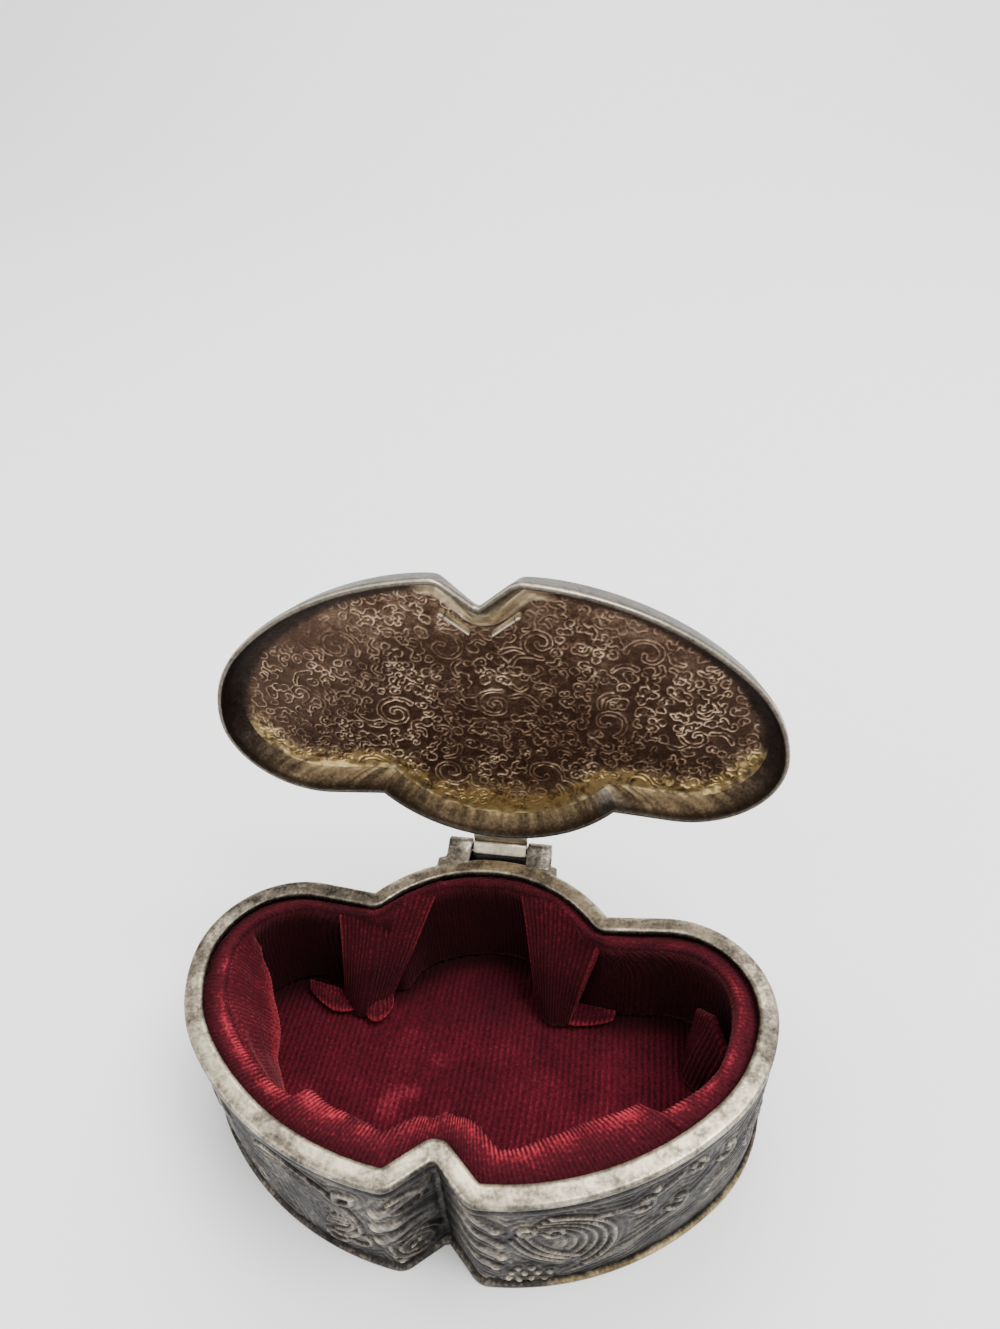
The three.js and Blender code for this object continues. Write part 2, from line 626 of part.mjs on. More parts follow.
const silver = new THREE.MeshStandardMaterial({ color: 0x9d9890, roughness: 0.42, metalness: 1.0 });
const lidSilver = new THREE.MeshStandardMaterial({ color: 0x8a8276, roughness: 0.4, metalness: 1.0 });
const pinSteel = new THREE.MeshStandardMaterial({ color: 0xb4b2ae, roughness: 0.35, metalness: 1.0 });
const floorVelvet = new THREE.MeshStandardMaterial({ color: 0x5c0d1a, roughness: 0.95, metalness: 0.0 });
const wallVelvet = new THREE.MeshStandardMaterial({ color: 0x8a1020, roughness: 0.95, metalness: 0.0 });

function named(name, geometry, material) {
  const mesh = new THREE.Mesh(geometry, material);
  mesh.name = name;
  return mesh;
}

const trinketBox = new THREE.Group();
trinketBox.add(named('base', makeBase(), silver));
trinketBox.add(named('lining_floor', makeLiningFloor(), floorVelvet));
trinketBox.add(named('lining_wall', makeLiningWall(), wallVelvet));

const hinge = new THREE.Group();
hinge.position.set(0, HINGE_Y, HINGE_Z);
hinge.add(named('hinge_pin', makeHingePin(), pinSteel));
const swing = new THREE.Group();
swing.rotation.x = THREE.MathUtils.degToRad(-OPEN_ANGLE);
swing.add(named('lid', makeLid(), lidSilver));
hinge.add(swing);
trinketBox.add(hinge);

export default trinketBox;
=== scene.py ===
import math

import bpy
import numpy as np
from mathutils import Matrix, Vector


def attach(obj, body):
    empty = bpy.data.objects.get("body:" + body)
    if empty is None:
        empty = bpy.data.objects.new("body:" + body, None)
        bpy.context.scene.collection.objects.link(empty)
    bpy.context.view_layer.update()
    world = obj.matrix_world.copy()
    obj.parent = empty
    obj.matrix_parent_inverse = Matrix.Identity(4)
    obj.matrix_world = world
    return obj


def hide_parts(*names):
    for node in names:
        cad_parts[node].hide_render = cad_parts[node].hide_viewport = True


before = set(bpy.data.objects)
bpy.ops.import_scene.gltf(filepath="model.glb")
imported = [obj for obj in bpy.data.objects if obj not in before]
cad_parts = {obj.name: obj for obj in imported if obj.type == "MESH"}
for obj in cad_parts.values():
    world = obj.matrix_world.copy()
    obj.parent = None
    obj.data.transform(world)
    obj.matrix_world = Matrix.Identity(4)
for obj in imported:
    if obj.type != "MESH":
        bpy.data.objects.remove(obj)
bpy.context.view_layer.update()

# Sizes are in millimetres, as on a drawing of the box; MM turns them into the scene's metres.
MM = 0.001

# Plan of the box. The right half is drawn and the left half mirrors it.
HALF_WIDTH = 54.0
BODY_DEPTH = 66.0
BACK_LOBE_RADIUS = 29.6
SIDE_LOBE_RADIUS = 18.0
SIDE_LOBE_FROM_BACK = 28.2
SIDE_LOBE_TOP_ANGLE = 95.65
SHOULDER_RADIUS = 30.6
SHOULDER_START = -6.0
SHOULDER_END = -43.3
TIP_X = 6.4
TIP_ROUND = 4.0
FRONT_NOTCH_DEPTH = 5.6

# Cast base
BASE_HEIGHT = 30.3
WALL = 2.6
FLOOR_THICKNESS = 1.6
RIM_WIDTH = 3.4
RIM_LIP_DEPTH = 1.2
RIM_EDGE_HEIGHT = 1.4
RIM_TO_BAND = 0.3
BAND_HEIGHT = 2.3
BAND_INSET = 0.4
BAND_SWELL = 0.25
FOOT_HEIGHT = 1.0
GROUND_INSET = 0.8
FIELD_MARGIN = 0.4
SIDE_CARVING = 0.75

# Cast lid, drawn shut with its edge at height 0
LID_EDGE_HEIGHT = 0.9
LID_SIDE_HEIGHT = 5.2
LID_HEIGHT = 8.2
LID_WALL = 0.9
LID_SHELL = 1.2
LID_DRAFT = 1.7
LID_SHOULDER = 2.4
LID_SHOULDER_SLOPE = 0.8
LID_COVE = 4.2
LID_COVE_WIDTH = 4.6
LID_NOTCH_DIP = 1.6
LID_NOTCH_REACH = 9.0
LID_NOTCH_STEP = 1.6
LID_CEILING_RISE = 0.82
LID_DOME_FULLNESS = 2.6
LID_CARVING = 0.8
LID_BORDER_LEAF = 8.9
LID_RIM_GAP = 0.3
LID_LINES = 0.30
OPEN_ANGLE = 84.6
LOCATING_RIDGE_LENGTH = 6.2
LOCATING_RIDGE_INSET = 6.05
LOCATING_RIDGE_ALONG = 0.5
LOCATING_RIDGE_HEIGHT = 2.2

# Hinge
HINGE_HALF_WIDTH = 10.8
KNUCKLE_HALF_WIDTH = 5.6
BARREL_RADIUS = 1.5
AXIS_BEHIND_BODY = 3.0
AXIS_BELOW_RIM = 0.35
LUG_THICKNESS = 2.4
LEAF_THICKNESS = 1.3
PIN_RADIUS = 0.5
PIN_CLEARANCE = 0.3
SIDE_CLEARANCE = 0.3
EDGE_ROUND = 0.15

# Velvet lining
LINING_GAP = 0.3
FLOOR_PAD = 1.3
LINING_BELOW_RIM = 1.5
PAD_NOSE_IN = 3.4
PAD_FOOT_IN = 1.6

# Ribs of the velvet: their pitch on the floor and on the strip round the walls, and their height
WALE = 1.2
STRIP_WALE = 0.9
WALE_HEIGHT = 0.32

# Places that follow from the sizes
BACK_Y = BODY_DEPTH / 2
TIP_Y = -BODY_DEPTH / 2
CENTRE = np.array([0.0, BACK_Y - BACK_LOBE_RADIUS])
HINGE_Y = BACK_Y + AXIS_BEHIND_BODY
HINGE_Z = BASE_HEIGHT - AXIS_BELOW_RIM
VERTEX = np.array([0.0, TIP_Y + FRONT_NOTCH_DEPTH])
BAND_TOP = BASE_HEIGHT - RIM_EDGE_HEIGHT - RIM_TO_BAND
BAND_LOW = BAND_TOP - BAND_HEIGHT
FIELD_LOW = FOOT_HEIGHT + FIELD_MARGIN
FIELD_HIGH = BAND_LOW - FIELD_MARGIN
DOME_BASE = LID_SIDE_HEIGHT + (LID_SHOULDER - LID_DRAFT) * LID_SHOULDER_SLOPE
LID_CEILING = DOME_BASE - LID_SHELL
LINING_OUTER = WALL + LINING_GAP
LINING_FLOOR_TOP = FLOOR_THICKNESS + LINING_GAP + FLOOR_PAD
LINING_WALL_LOW = LINING_FLOOR_TOP + LINING_GAP
LINING_TOP = BASE_HEIGHT - LINING_BELOW_RIM

# Spacing of the points that the plan is drawn with
PLAN_STEP = 0.5


def arc(centre, radius, start, end, step=PLAN_STEP):
    """Points of an arc, its angles in radians."""
    count = max(2, math.ceil(abs(end - start) * radius / step))
    angles = np.linspace(start, end, count + 1)
    return np.stack([centre[0] + radius * np.cos(angles), centre[1] + radius * np.sin(angles)], axis=1)


def straight(start, end, step=PLAN_STEP):
    """Points of a straight run."""
    start = np.asarray(start, float)
    end = np.asarray(end, float)
    count = max(1, math.ceil(np.linalg.norm(end - start) / step))
    return start + (end - start) * np.linspace(0, 1, count + 1)[:, None]


def arc_from_tangent(start, tangent, end):
    """The arc that leaves a point along a tangent, turning clockwise, and ends at another point."""
    chord = end - start
    normal = np.array([tangent[1], -tangent[0]])
    radius = chord @ chord / (2 * chord @ normal)
    centre = start + normal * radius
    first = math.atan2(*(start - centre)[::-1])
    last = math.atan2(*(end - centre)[::-1])
    if last > first:
        last -= 2 * math.pi
    return arc(centre, radius, first, last)


def round_corner(corner, towards_a, towards_b, radius):
    """How far a rounding reaches from a corner, and its points."""
    a = (towards_a - corner) / np.linalg.norm(towards_a - corner)
    b = (towards_b - corner) / np.linalg.norm(towards_b - corner)
    reach = radius / math.tan(math.acos(a @ b) / 2)
    t = np.linspace(0, 1, 9)[:, None]
    first = corner + a * reach
    last = corner + b * reach
    return reach, (1 - t) ** 2 * first + 2 * t * (1 - t) * corner + t ** 2 * last


def notch_point(lobe_top, along):
    """Where a straight run that leaves a side lobe along a tangent meets the back lobe."""
    from_centre = lobe_top - CENTRE
    across = from_centre @ along
    inside = across ** 2 - from_centre @ from_centre + BACK_LOBE_RADIUS ** 2
    return lobe_top + along * (-across - math.sqrt(inside))


def half_plan():
    """Stretches of the right half, from the middle of the back to the V notch in the front."""
    lobe = np.array([HALF_WIDTH - SIDE_LOBE_RADIUS, BACK_Y - SIDE_LOBE_FROM_BACK])
    top = math.radians(SIDE_LOBE_TOP_ANGLE)
    first = math.radians(SHOULDER_START)
    last = math.radians(SHOULDER_END)
    side = arc(lobe, SIDE_LOBE_RADIUS, top, first)
    notch = notch_point(side[0], np.array([-math.sin(top), math.cos(top)]))
    notch_angle = math.atan2(notch[1] - CENTRE[1], notch[0] - CENTRE[0])
    back = arc(CENTRE, BACK_LOBE_RADIUS, math.pi / 2, notch_angle)
    away = np.array([math.cos(first), math.sin(first)])
    shoulder_centre = lobe + away * (SIDE_LOBE_RADIUS - SHOULDER_RADIUS)
    shoulder = arc(shoulder_centre, SHOULDER_RADIUS, first, last)
    tip = np.array([TIP_X, TIP_Y])
    heart = arc_from_tangent(shoulder[-1], np.array([math.sin(last), -math.cos(last)]), tip)
    reach, corner = round_corner(tip, heart[-4], VERTEX, TIP_ROUND)
    heart = heart[np.linalg.norm(heart - tip, axis=1) > reach]
    long_side = np.vstack([side, shoulder[1:], heart[1:]])
    return [back, straight(notch, side[0]), long_side, corner, straight(corner[-1], VERTEX)]


def lengths(points):
    """Distance passed along a line at each of its points."""
    steps = np.linalg.norm(np.diff(points, axis=0), axis=1)
    return np.concatenate([[0], np.cumsum(steps)])


STRETCHES = half_plan()
PLAN = np.vstack([STRETCHES[0]] + [s[1:] for s in STRETCHES[1:]])
PLAN = PLAN[np.concatenate([[True], np.linalg.norm(np.diff(PLAN, axis=0), axis=1) > 1e-6])]
PLAN_LENGTHS = lengths(PLAN)
HALF_LENGTH = PLAN_LENGTHS[-1]
BACK_NOTCH_FROM_NOTCH = HALF_LENGTH - lengths(STRETCHES[0])[-1]


def distance_to_plan(x, y):
    """Distance from each point to the plan's outline."""
    px = np.abs(np.asarray(x, float)).ravel()
    py = np.asarray(y, float).ravel()
    best = np.full(px.shape, 1e9)
    a = PLAN[:-1]
    d = np.diff(PLAN, axis=0)
    length2 = (d ** 2).sum(axis=1)
    at_once = 20000
    for chunk in np.array_split(np.arange(len(px)), max(1, len(px) // at_once)):
        rx = px[chunk, None] - a[None, :, 0]
        ry = py[chunk, None] - a[None, :, 1]
        t = np.clip((rx * d[:, 0] + ry * d[:, 1]) / length2, 0, 1)
        gap = (rx - t * d[:, 0]) ** 2 + (ry - t * d[:, 1]) ** 2
        best[chunk] = np.sqrt(gap.min(axis=1))
    return best.reshape(np.shape(x))


def smooth(low, high, value):
    """0 below low, 1 above high, and a soft step between them."""
    t = np.clip((np.asarray(value, float) - low) / (high - low), 0, 1)
    return t * t * (3 - 2 * t)


def ribs(place, pitch):
    """Waves from 0 to 1 of this pitch, with a top at place 0."""
    return 0.5 + 0.5 * np.cos(2 * math.pi * place / pitch)


def bump(value, middle, width):
    """1 at the middle, fading to 0 on both sides."""
    return np.exp(-((np.asarray(value, float) - middle) / width) ** 2)


class Stations:
    """Rays from the centre to evenly spaced points of the plan, both halves, clockwise from the back.
    Along each ray it knows how deep inside the outline a point lies."""

    def __init__(self, step, depth=0.62, samples=84):
        wanted = []
        passed = 0
        for stretch in STRETCHES:
            total = lengths(stretch)[-1]
            count = max(1, round(total / step))
            wanted.extend(passed + total * np.arange(0 if not wanted else 1, count + 1) / count)
            passed += total
        wanted = np.array(wanted)
        x = np.interp(wanted, PLAN_LENGTHS, PLAN[:, 0])
        y = np.interp(wanted, PLAN_LENGTHS, PLAN[:, 1])
        right = np.stack([x, y], axis=1)
        left = right[1:-1][::-1] * [-1, 1]
        self.point = np.vstack([right, left])
        self.along = np.concatenate([HALF_LENGTH - wanted, (HALF_LENGTH - wanted)[1:-1][::-1]])
        self.side = np.concatenate([np.ones(len(right)), -np.ones(len(left))])
        self.count = len(self.point)
        self.ray = self.point - CENTRE
        self.share = np.linspace(1 - depth, 1, samples)
        grid = CENTRE + self.ray[:, None, :] * self.share[None, :, None]
        self.depth = distance_to_plan(grid[..., 0], grid[..., 1])
        self.depth[:, -1] = 0
        self.depth = np.maximum.accumulate(self.depth[:, ::-1], axis=1)[:, ::-1]

    def inset(self, inset):
        """Points on the rays at the given depth inside the outline: one number, or one for each ray."""
        inset = np.broadcast_to(np.asarray(inset, float), (self.count,))
        share = np.array([
            np.interp(inset[i], self.depth[i, ::-1], self.share[::-1]) for i in range(self.count)
        ])
        outside = np.minimum(inset, 0)
        length = np.linalg.norm(self.ray, axis=1)
        return CENTRE + self.ray * (share - outside / length)[:, None]

    def ring(self, inset, z):
        return np.column_stack([self.inset(inset), np.broadcast_to(z, (self.count,))])


class Ring:
    """The closed line at one depth inside the plan, as a radius for each direction from the centre."""

    def __init__(self, stations, inset):
        ray = stations.inset(inset) - CENTRE
        angle = np.arctan2(ray[:, 1], ray[:, 0])
        order = np.argsort(angle)
        self.angle = angle[order]
        self.radius = np.linalg.norm(ray, axis=1)[order]

    def share(self, x, y):
        """How far out a point lies: 0 at the centre, 1 on the ring."""
        dx = x - CENTRE[0]
        dy = y - CENTRE[1]
        limit = np.interp(np.arctan2(dy, dx), self.angle, self.radius, period=2 * math.pi)
        return np.hypot(dx, dy) / limit


def round_section(u):
    return np.sqrt(np.clip(1 - u * u, 0, 1))


def fluted_section(u):
    """A leaf with a thin raised outline and a dished middle."""
    return np.clip((1 - u) / 0.22, 0, 1) * (0.5 + 0.5 * np.clip(u, 0, 1) ** 4)


def line_section(u):
    return np.clip(1 - u * u, 0, 1)


class Raster:
    """A height map kept as a fine raster, drawn on with strokes and read back anywhere."""

    def __init__(self, low, high, step, fill=0.0):
        self.low = np.asarray(low, float)
        self.step = step
        size = np.ceil((np.asarray(high) - self.low) / step).astype(int) + 2
        self.x = self.low[0] + step * np.arange(size[0])
        self.y = self.low[1] + step * np.arange(size[1])
        self.field = np.full((size[1], size[0]), fill, np.float32)

    def segments(self, points, reach):
        """For each segment of a line: its window of the raster, the distance there, and the share
        of the whole line passed."""
        points = np.asarray(points, float)
        count = len(points) - 1
        for i in range(count):
            a = points[i]
            d = points[i + 1] - a
            b = a + d
            x0, x1 = np.searchsorted(self.x, [min(a[0], b[0]) - reach, max(a[0], b[0]) + reach])
            y0, y1 = np.searchsorted(self.y, [min(a[1], b[1]) - reach, max(a[1], b[1]) + reach])
            if x1 <= x0 or y1 <= y0:
                continue
            px = self.x[None, x0:x1] - a[0]
            py = self.y[y0:y1, None] - a[1]
            t = np.clip((px * d[0] + py * d[1]) / max(d @ d, 1e-9), 0, 1)
            yield self.field[y0:y1, x0:x1], np.hypot(px - t * d[0], py - t * d[1]), (i + t) / count

    def raise_stroke(self, points, half_width, height=1.0, section=round_section, taper=0.0):
        """Raises a stroke whose half width shrinks by the taper's share towards its end."""
        for window, away, passed in self.segments(points, half_width):
            width = half_width * (1 - taper * passed)
            np.maximum(window, height * section(away / width), out=window)

    def bring_near(self, points, reach):
        """Lowers the raster to the distance from the line, within reach of it."""
        for window, away, _ in self.segments(points, reach):
            np.minimum(window, away, out=window)

    def softened(self, radius):
        """The same map, averaged over a square of that half width three times."""
        made = self.field.astype(float)
        size = max(1, round(radius / self.step))
        for _ in range(3):
            for axis in (0, 1):
                pad = [(0, 0), (0, 0)]
                pad[axis] = (size + 1, size)
                total = np.cumsum(np.pad(made, pad, mode="edge"), axis=axis)
                ahead = np.take(total, np.arange(2 * size + 1, total.shape[axis]), axis=axis)
                behind = np.take(total, np.arange(0, total.shape[axis] - 2 * size - 1), axis=axis)
                made = (ahead - behind) / (2 * size + 1)
        return made

    def read(self, x, y, field=None):
        """Heights at any points, from this map or from another field of the same size."""
        f = self.field if field is None else field
        u = np.clip((np.asarray(x) - self.low[0]) / self.step, 0, f.shape[1] - 1.001)
        v = np.clip((np.asarray(y) - self.low[1]) / self.step, 0, f.shape[0] - 1.001)
        i = u.astype(int)
        j = v.astype(int)
        fu = u - i
        fv = v - j
        low = f[j, i] * (1 - fu) + f[j, i + 1] * fu
        high = f[j + 1, i] * (1 - fu) + f[j + 1, i + 1] * fu
        return low * (1 - fv) + high * fv


class Wander:
    """Seeded smooth noise from -1 to 1 over a plane, with hills about as wide as the cell."""

    SIZE = 256

    def __init__(self, seed, cell):
        self.values = np.random.default_rng(seed).uniform(-1, 1, (self.SIZE, self.SIZE))
        self.cell = cell

    def __call__(self, x, y=0.0):
        u = np.asarray(x, float) / self.cell + self.SIZE // 2
        v = np.asarray(y, float) / self.cell + self.SIZE // 2
        fu = smooth(0, 1, u - np.floor(u))
        fv = smooth(0, 1, v - np.floor(v))
        i = np.floor(u).astype(int) % self.SIZE
        j = np.floor(v).astype(int) % self.SIZE
        next_i = (i + 1) % self.SIZE
        next_j = (j + 1) % self.SIZE
        low = self.values[j, i] * (1 - fu) + self.values[j, next_i] * fu
        high = self.values[next_j, i] * (1 - fu) + self.values[next_j, next_i] * fu
        return low * (1 - fv) + high * fv


def make_depth():
    """How deep inside the plan's outline a point lies, negative outside it, as a raster."""
    raster = Raster((-1.0, TIP_Y - 2), (HALF_WIDTH + 2, BACK_Y + 2), 0.25)
    x, y = np.meshgrid(raster.x, raster.y)
    outline = Ring(Stations(0.5), 0.0)
    sign = np.where(outline.share(x, y) <= 1, 1, -1)
    raster.field = sign * distance_to_plan(x, y)
    return raster


DEPTH = make_depth()


def depth_at(x, y):
    """How deep inside the outline points lie, on either half of the plan."""
    return DEPTH.read(np.abs(x), y)


def plan_grid(depth, step_x, step_y, half=0, draw=True):
    """A grid over the part of the plan that lies deeper than depth, its edge drawn onto that depth.
    half is 1 or -1 for one half of the plan. Gives x, y and the quads, seen from above."""
    count = math.ceil(HALF_WIDTH / step_x)
    xs = step_x * np.arange(0 if half == 1 else -count, (0 if half == -1 else count) + 1)
    ys = np.arange(TIP_Y - step_y, BACK_Y + step_y, step_y)
    x, y = np.meshgrid(xs, ys)
    deep = depth_at(x, y) >= depth
    corners = np.stack([deep[:-1, :-1], deep[:-1, 1:], deep[1:, 1:], deep[1:, :-1]])
    cells = corners.any(axis=0) if draw else corners.all(axis=0)
    index = np.arange(x.size).reshape(x.shape)
    quads = np.stack([index[:-1, :-1], index[:-1, 1:], index[1:, 1:], index[1:, :-1]], axis=-1)[cells]
    used, quads = np.unique(quads, return_inverse=True)
    quads = quads.reshape(-1, 4)
    x = x.ravel()[used]
    y = y.ravel()[used]
    near = 0.15
    for _ in range(3 if draw else 0):
        need = np.maximum(depth - depth_at(x, y), 0)
        slope_x = (depth_at(x + near, y) - depth_at(x - near, y)) / (2 * near)
        slope_y = (depth_at(x, y + near) - depth_at(x, y - near)) / (2 * near)
        size = np.maximum(np.hypot(slope_x, slope_y), 0.3)
        x = x + need * slope_x / size
        y = y + need * slope_y / size
    return x, y, quads


# The outline as a direction from the centre and a distance from the V notch, for each of its points
ANGLE_ORDER = np.argsort(np.arctan2(PLAN[:, 1] - CENTRE[1], PLAN[:, 0]))
PLAN_ANGLES = np.arctan2(PLAN[:, 1] - CENTRE[1], PLAN[:, 0])[ANGLE_ORDER]
PLAN_FROM_NOTCH = (HALF_LENGTH - PLAN_LENGTHS)[ANGLE_ORDER]


def from_notch(x, y):
    """How far along the plan from the V notch the ray through a point meets the outline."""
    return np.interp(np.arctan2(y - CENTRE[1], np.abs(x)), PLAN_ANGLES, PLAN_FROM_NOTCH)


class Skin:
    """A mesh that is put together from grids and rings, with named values at its vertices."""

    def __init__(self, *names):
        self.vertices = []
        self.quads = []
        self.triangles = []
        self.values = {name: [] for name in names}
        self.count = 0

    def add(self, vertices, quads, **values):
        vertices = np.asarray(vertices, float)
        self.vertices.append(vertices)
        self.quads.append(np.asarray(quads) + self.count)
        for name, store in self.values.items():
            store.append(np.broadcast_to(values.get(name, 0.0), (len(vertices),)))
        self.count += len(vertices)
        return self.count - len(vertices)

    def add_rings(self, rings, outward=True, closed=True, looped=False, **values):
        """Rings of equal count, each listed clockwise from above, from below and outside to above."""
        count = len(rings[0])
        i = np.arange(count if closed else count - 1)
        j = (i + 1) % count
        quads = []
        for r in range(len(rings) if looped else len(rings) - 1):
            first = r * count
            second = (r + 1) % len(rings) * count
            quads.append(np.stack([first + i, second + i, second + j, first + j], axis=1))
        quads = np.vstack(quads)
        spread = {}
        for name, value in values.items():
            rows = value if isinstance(value, list) else [value] * len(rings)
            spread[name] = np.concatenate([np.broadcast_to(row, (count,)) for row in rows])
        return self.add(np.vstack(rings), quads if outward else quads[:, ::-1], **spread)

    def close(self, first, count, middle, upward, **values):
        """A fan from a middle point to the ring of vertices that starts at first."""
        tip = self.add([middle], np.empty((0, 4), int), **values)
        i = np.arange(count)
        j = (i + 1) % count
        fan = np.stack([np.full(count, tip), first + i, first + j], axis=1)
        self.triangles.append(fan[:, ::-1] if upward else fan)

    def build(self, name, material, place=None):
        """Makes the piece, its points moved by the place function where one is given."""
        vertices = np.vstack(self.vertices)
        if place is not None:
            vertices = place(vertices)
        quads = np.vstack(self.quads)
        triangles = np.vstack(self.triangles) if self.triangles else np.empty((0, 3), int)
        mesh = bpy.data.meshes.new(name)
        mesh.vertices.add(len(vertices))
        mesh.vertices.foreach_set("co", (vertices * MM).ravel())
        corners = np.concatenate([quads.ravel(), triangles.ravel()])
        mesh.loops.add(len(corners))
        mesh.loops.foreach_set("vertex_index", corners)
        sizes = np.concatenate([np.full(len(quads), 4), np.full(len(triangles), 3)])
        mesh.polygons.add(len(sizes))
        mesh.polygons.foreach_set("loop_start", np.cumsum(sizes) - sizes)
        mesh.update(calc_edges=True)
        mesh.validate()
        mesh.shade_smooth()
        for label, store in self.values.items():
            made = mesh.attributes.new(label, "FLOAT", "POINT")
            made.data.foreach_set("value", np.concatenate(store).astype(np.float32))
        mesh.materials.append(material)
        piece = bpy.data.objects.new(name, mesh)
        bpy.context.scene.collection.objects.link(piece)
        return piece


def curl(x, y, radius, start, sweep, shrink):
    """A line that winds about a point while its radius shrinks."""
    steps = max(8, math.ceil(abs(sweep) / 10))
    t = np.linspace(0, 1, steps + 1)
    angle = np.radians(start + sweep * t)
    r = radius * (1 + (shrink - 1) * t)
    return np.stack([x + r * np.cos(angle), y + r * np.sin(angle)], axis=1)


def sway(start, end, bow):
    """A line from one point to another that bows to one side."""
    start = np.asarray(start, float)
    d = np.asarray(end, float) - start
    t = np.linspace(0, 1, 13)
    lift = bow * np.sin(math.pi * t)
    return np.stack([start[0] + d[0] * t - d[1] * lift, start[1] + d[1] * t + d[0] * lift], axis=1)


def knob(x, y):
    """A line so short that its stroke is a round knob."""
    return np.array([[x, y], [x + 0.01, y]])


# Camera at the photograph's viewpoint. Lengths are millimetres from the middle of the underside.
CAMERA_PLACE = (27.5, -87.8, 170.8)
CAMERA_DOWN = 36.17
CAMERA_YAW = -11.51
CAMERA_ROLL = -3.47
FOCAL_PIXELS = 881.6
PHOTO_LONG_SIDE = 1329
SENSOR = 36.0


def make_camera():
    """The camera, turned by its yaw, its angle down and its roll."""
    data = bpy.data.cameras.new("camera")
    data.sensor_width = SENSOR
    data.lens = FOCAL_PIXELS / PHOTO_LONG_SIDE * SENSOR
    data.clip_start = 0.01
    data.clip_end = 30
    camera = bpy.data.objects.new("camera", data)
    bpy.context.scene.collection.objects.link(camera)
    down = math.radians(CAMERA_DOWN)
    yaw = math.radians(CAMERA_YAW)
    roll = math.radians(CAMERA_ROLL)
    ahead = Vector((math.sin(yaw) * math.cos(down), math.cos(yaw) * math.cos(down), -math.sin(down)))
    right = Vector((math.cos(yaw), -math.sin(yaw), 0))
    up = right.cross(ahead)
    across = math.cos(roll) * right + math.sin(roll) * up
    upright = -math.sin(roll) * right + math.cos(roll) * up
    turned = Matrix((across, upright, -ahead)).transposed().to_4x4()
    camera.matrix_world = Matrix.Translation(Vector(CAMERA_PLACE) * MM) @ turned
    bpy.context.scene.camera = camera


class Shader:
    """A material while its nodes are wired up."""

    def __init__(self, name):
        self.material = bpy.data.materials.new(name)
        self.material.use_nodes = True
        self.tree = self.material.node_tree
        self.surface = self.tree.nodes["Principled BSDF"]

    def plug(self, socket, value):
        if isinstance(value, bpy.types.NodeSocket):
            self.tree.links.new(value, socket)
        elif isinstance(value, tuple) and len(value) == 3 and socket.type == "RGBA":
            socket.default_value = (*value, 1)
        else:
            socket.default_value = value

    def set(self, **inputs):
        for name, value in inputs.items():
            self.plug(self.surface.inputs[name.replace("_", " ")], value)

    def value(self, name):
        node = self.tree.nodes.new("ShaderNodeAttribute")
        node.attribute_name = name
        return node.outputs["Fac"]

    def noise(self, scale, detail):
        place = self.tree.nodes.new("ShaderNodeTexCoord")
        node = self.tree.nodes.new("ShaderNodeTexNoise")
        self.tree.links.new(place.outputs["Object"], node.inputs["Vector"])
        node.inputs["Scale"].default_value = scale
        node.inputs["Detail"].default_value = detail
        return node.outputs["Fac"]

    def maths(self, operation, a, b=0.0, c=0.0, clamp=False):
        node = self.tree.nodes.new("ShaderNodeMath")
        node.operation = operation
        node.use_clamp = clamp
        for socket, value in zip(node.inputs, (a, b, c)):
            self.plug(socket, value)
        return node.outputs["Value"]

    def stir(self, level, noise, share, clamp=False):
        """The level, moved up and down by a share of the noise."""
        return self.maths("MULTIPLY_ADD", self.maths("SUBTRACT", noise, 0.5), share, level, clamp)

    def ramp(self, factor, *stops):
        """Colours at shares of the factor, as (share, colour) pairs."""
        node = self.tree.nodes.new("ShaderNodeValToRGB")
        elements = node.color_ramp.elements
        while len(elements) < len(stops):
            elements.new(0.5)
        for element, (share, colour) in zip(elements, stops):
            element.position = share
            element.color = (*colour, 1)
        self.tree.links.new(factor, node.inputs["Fac"])
        return node.outputs["Color"]

    def mix(self, factor, a, b, blend="MIX"):
        node = self.tree.nodes.new("ShaderNodeMix")
        node.data_type = "RGBA"
        node.blend_type = blend
        self.plug(node.inputs[0], factor)
        self.plug(node.inputs[6], a)
        self.plug(node.inputs[7], b)
        return node.outputs[2]

    def bump(self, height, strength, distance):
        node = self.tree.nodes.new("ShaderNodeBump")
        node.inputs["Strength"].default_value = strength
        node.inputs["Distance"].default_value = distance
        self.tree.links.new(height, node.inputs["Height"])
        self.tree.links.new(node.outputs["Normal"], self.surface.inputs["Normal"])


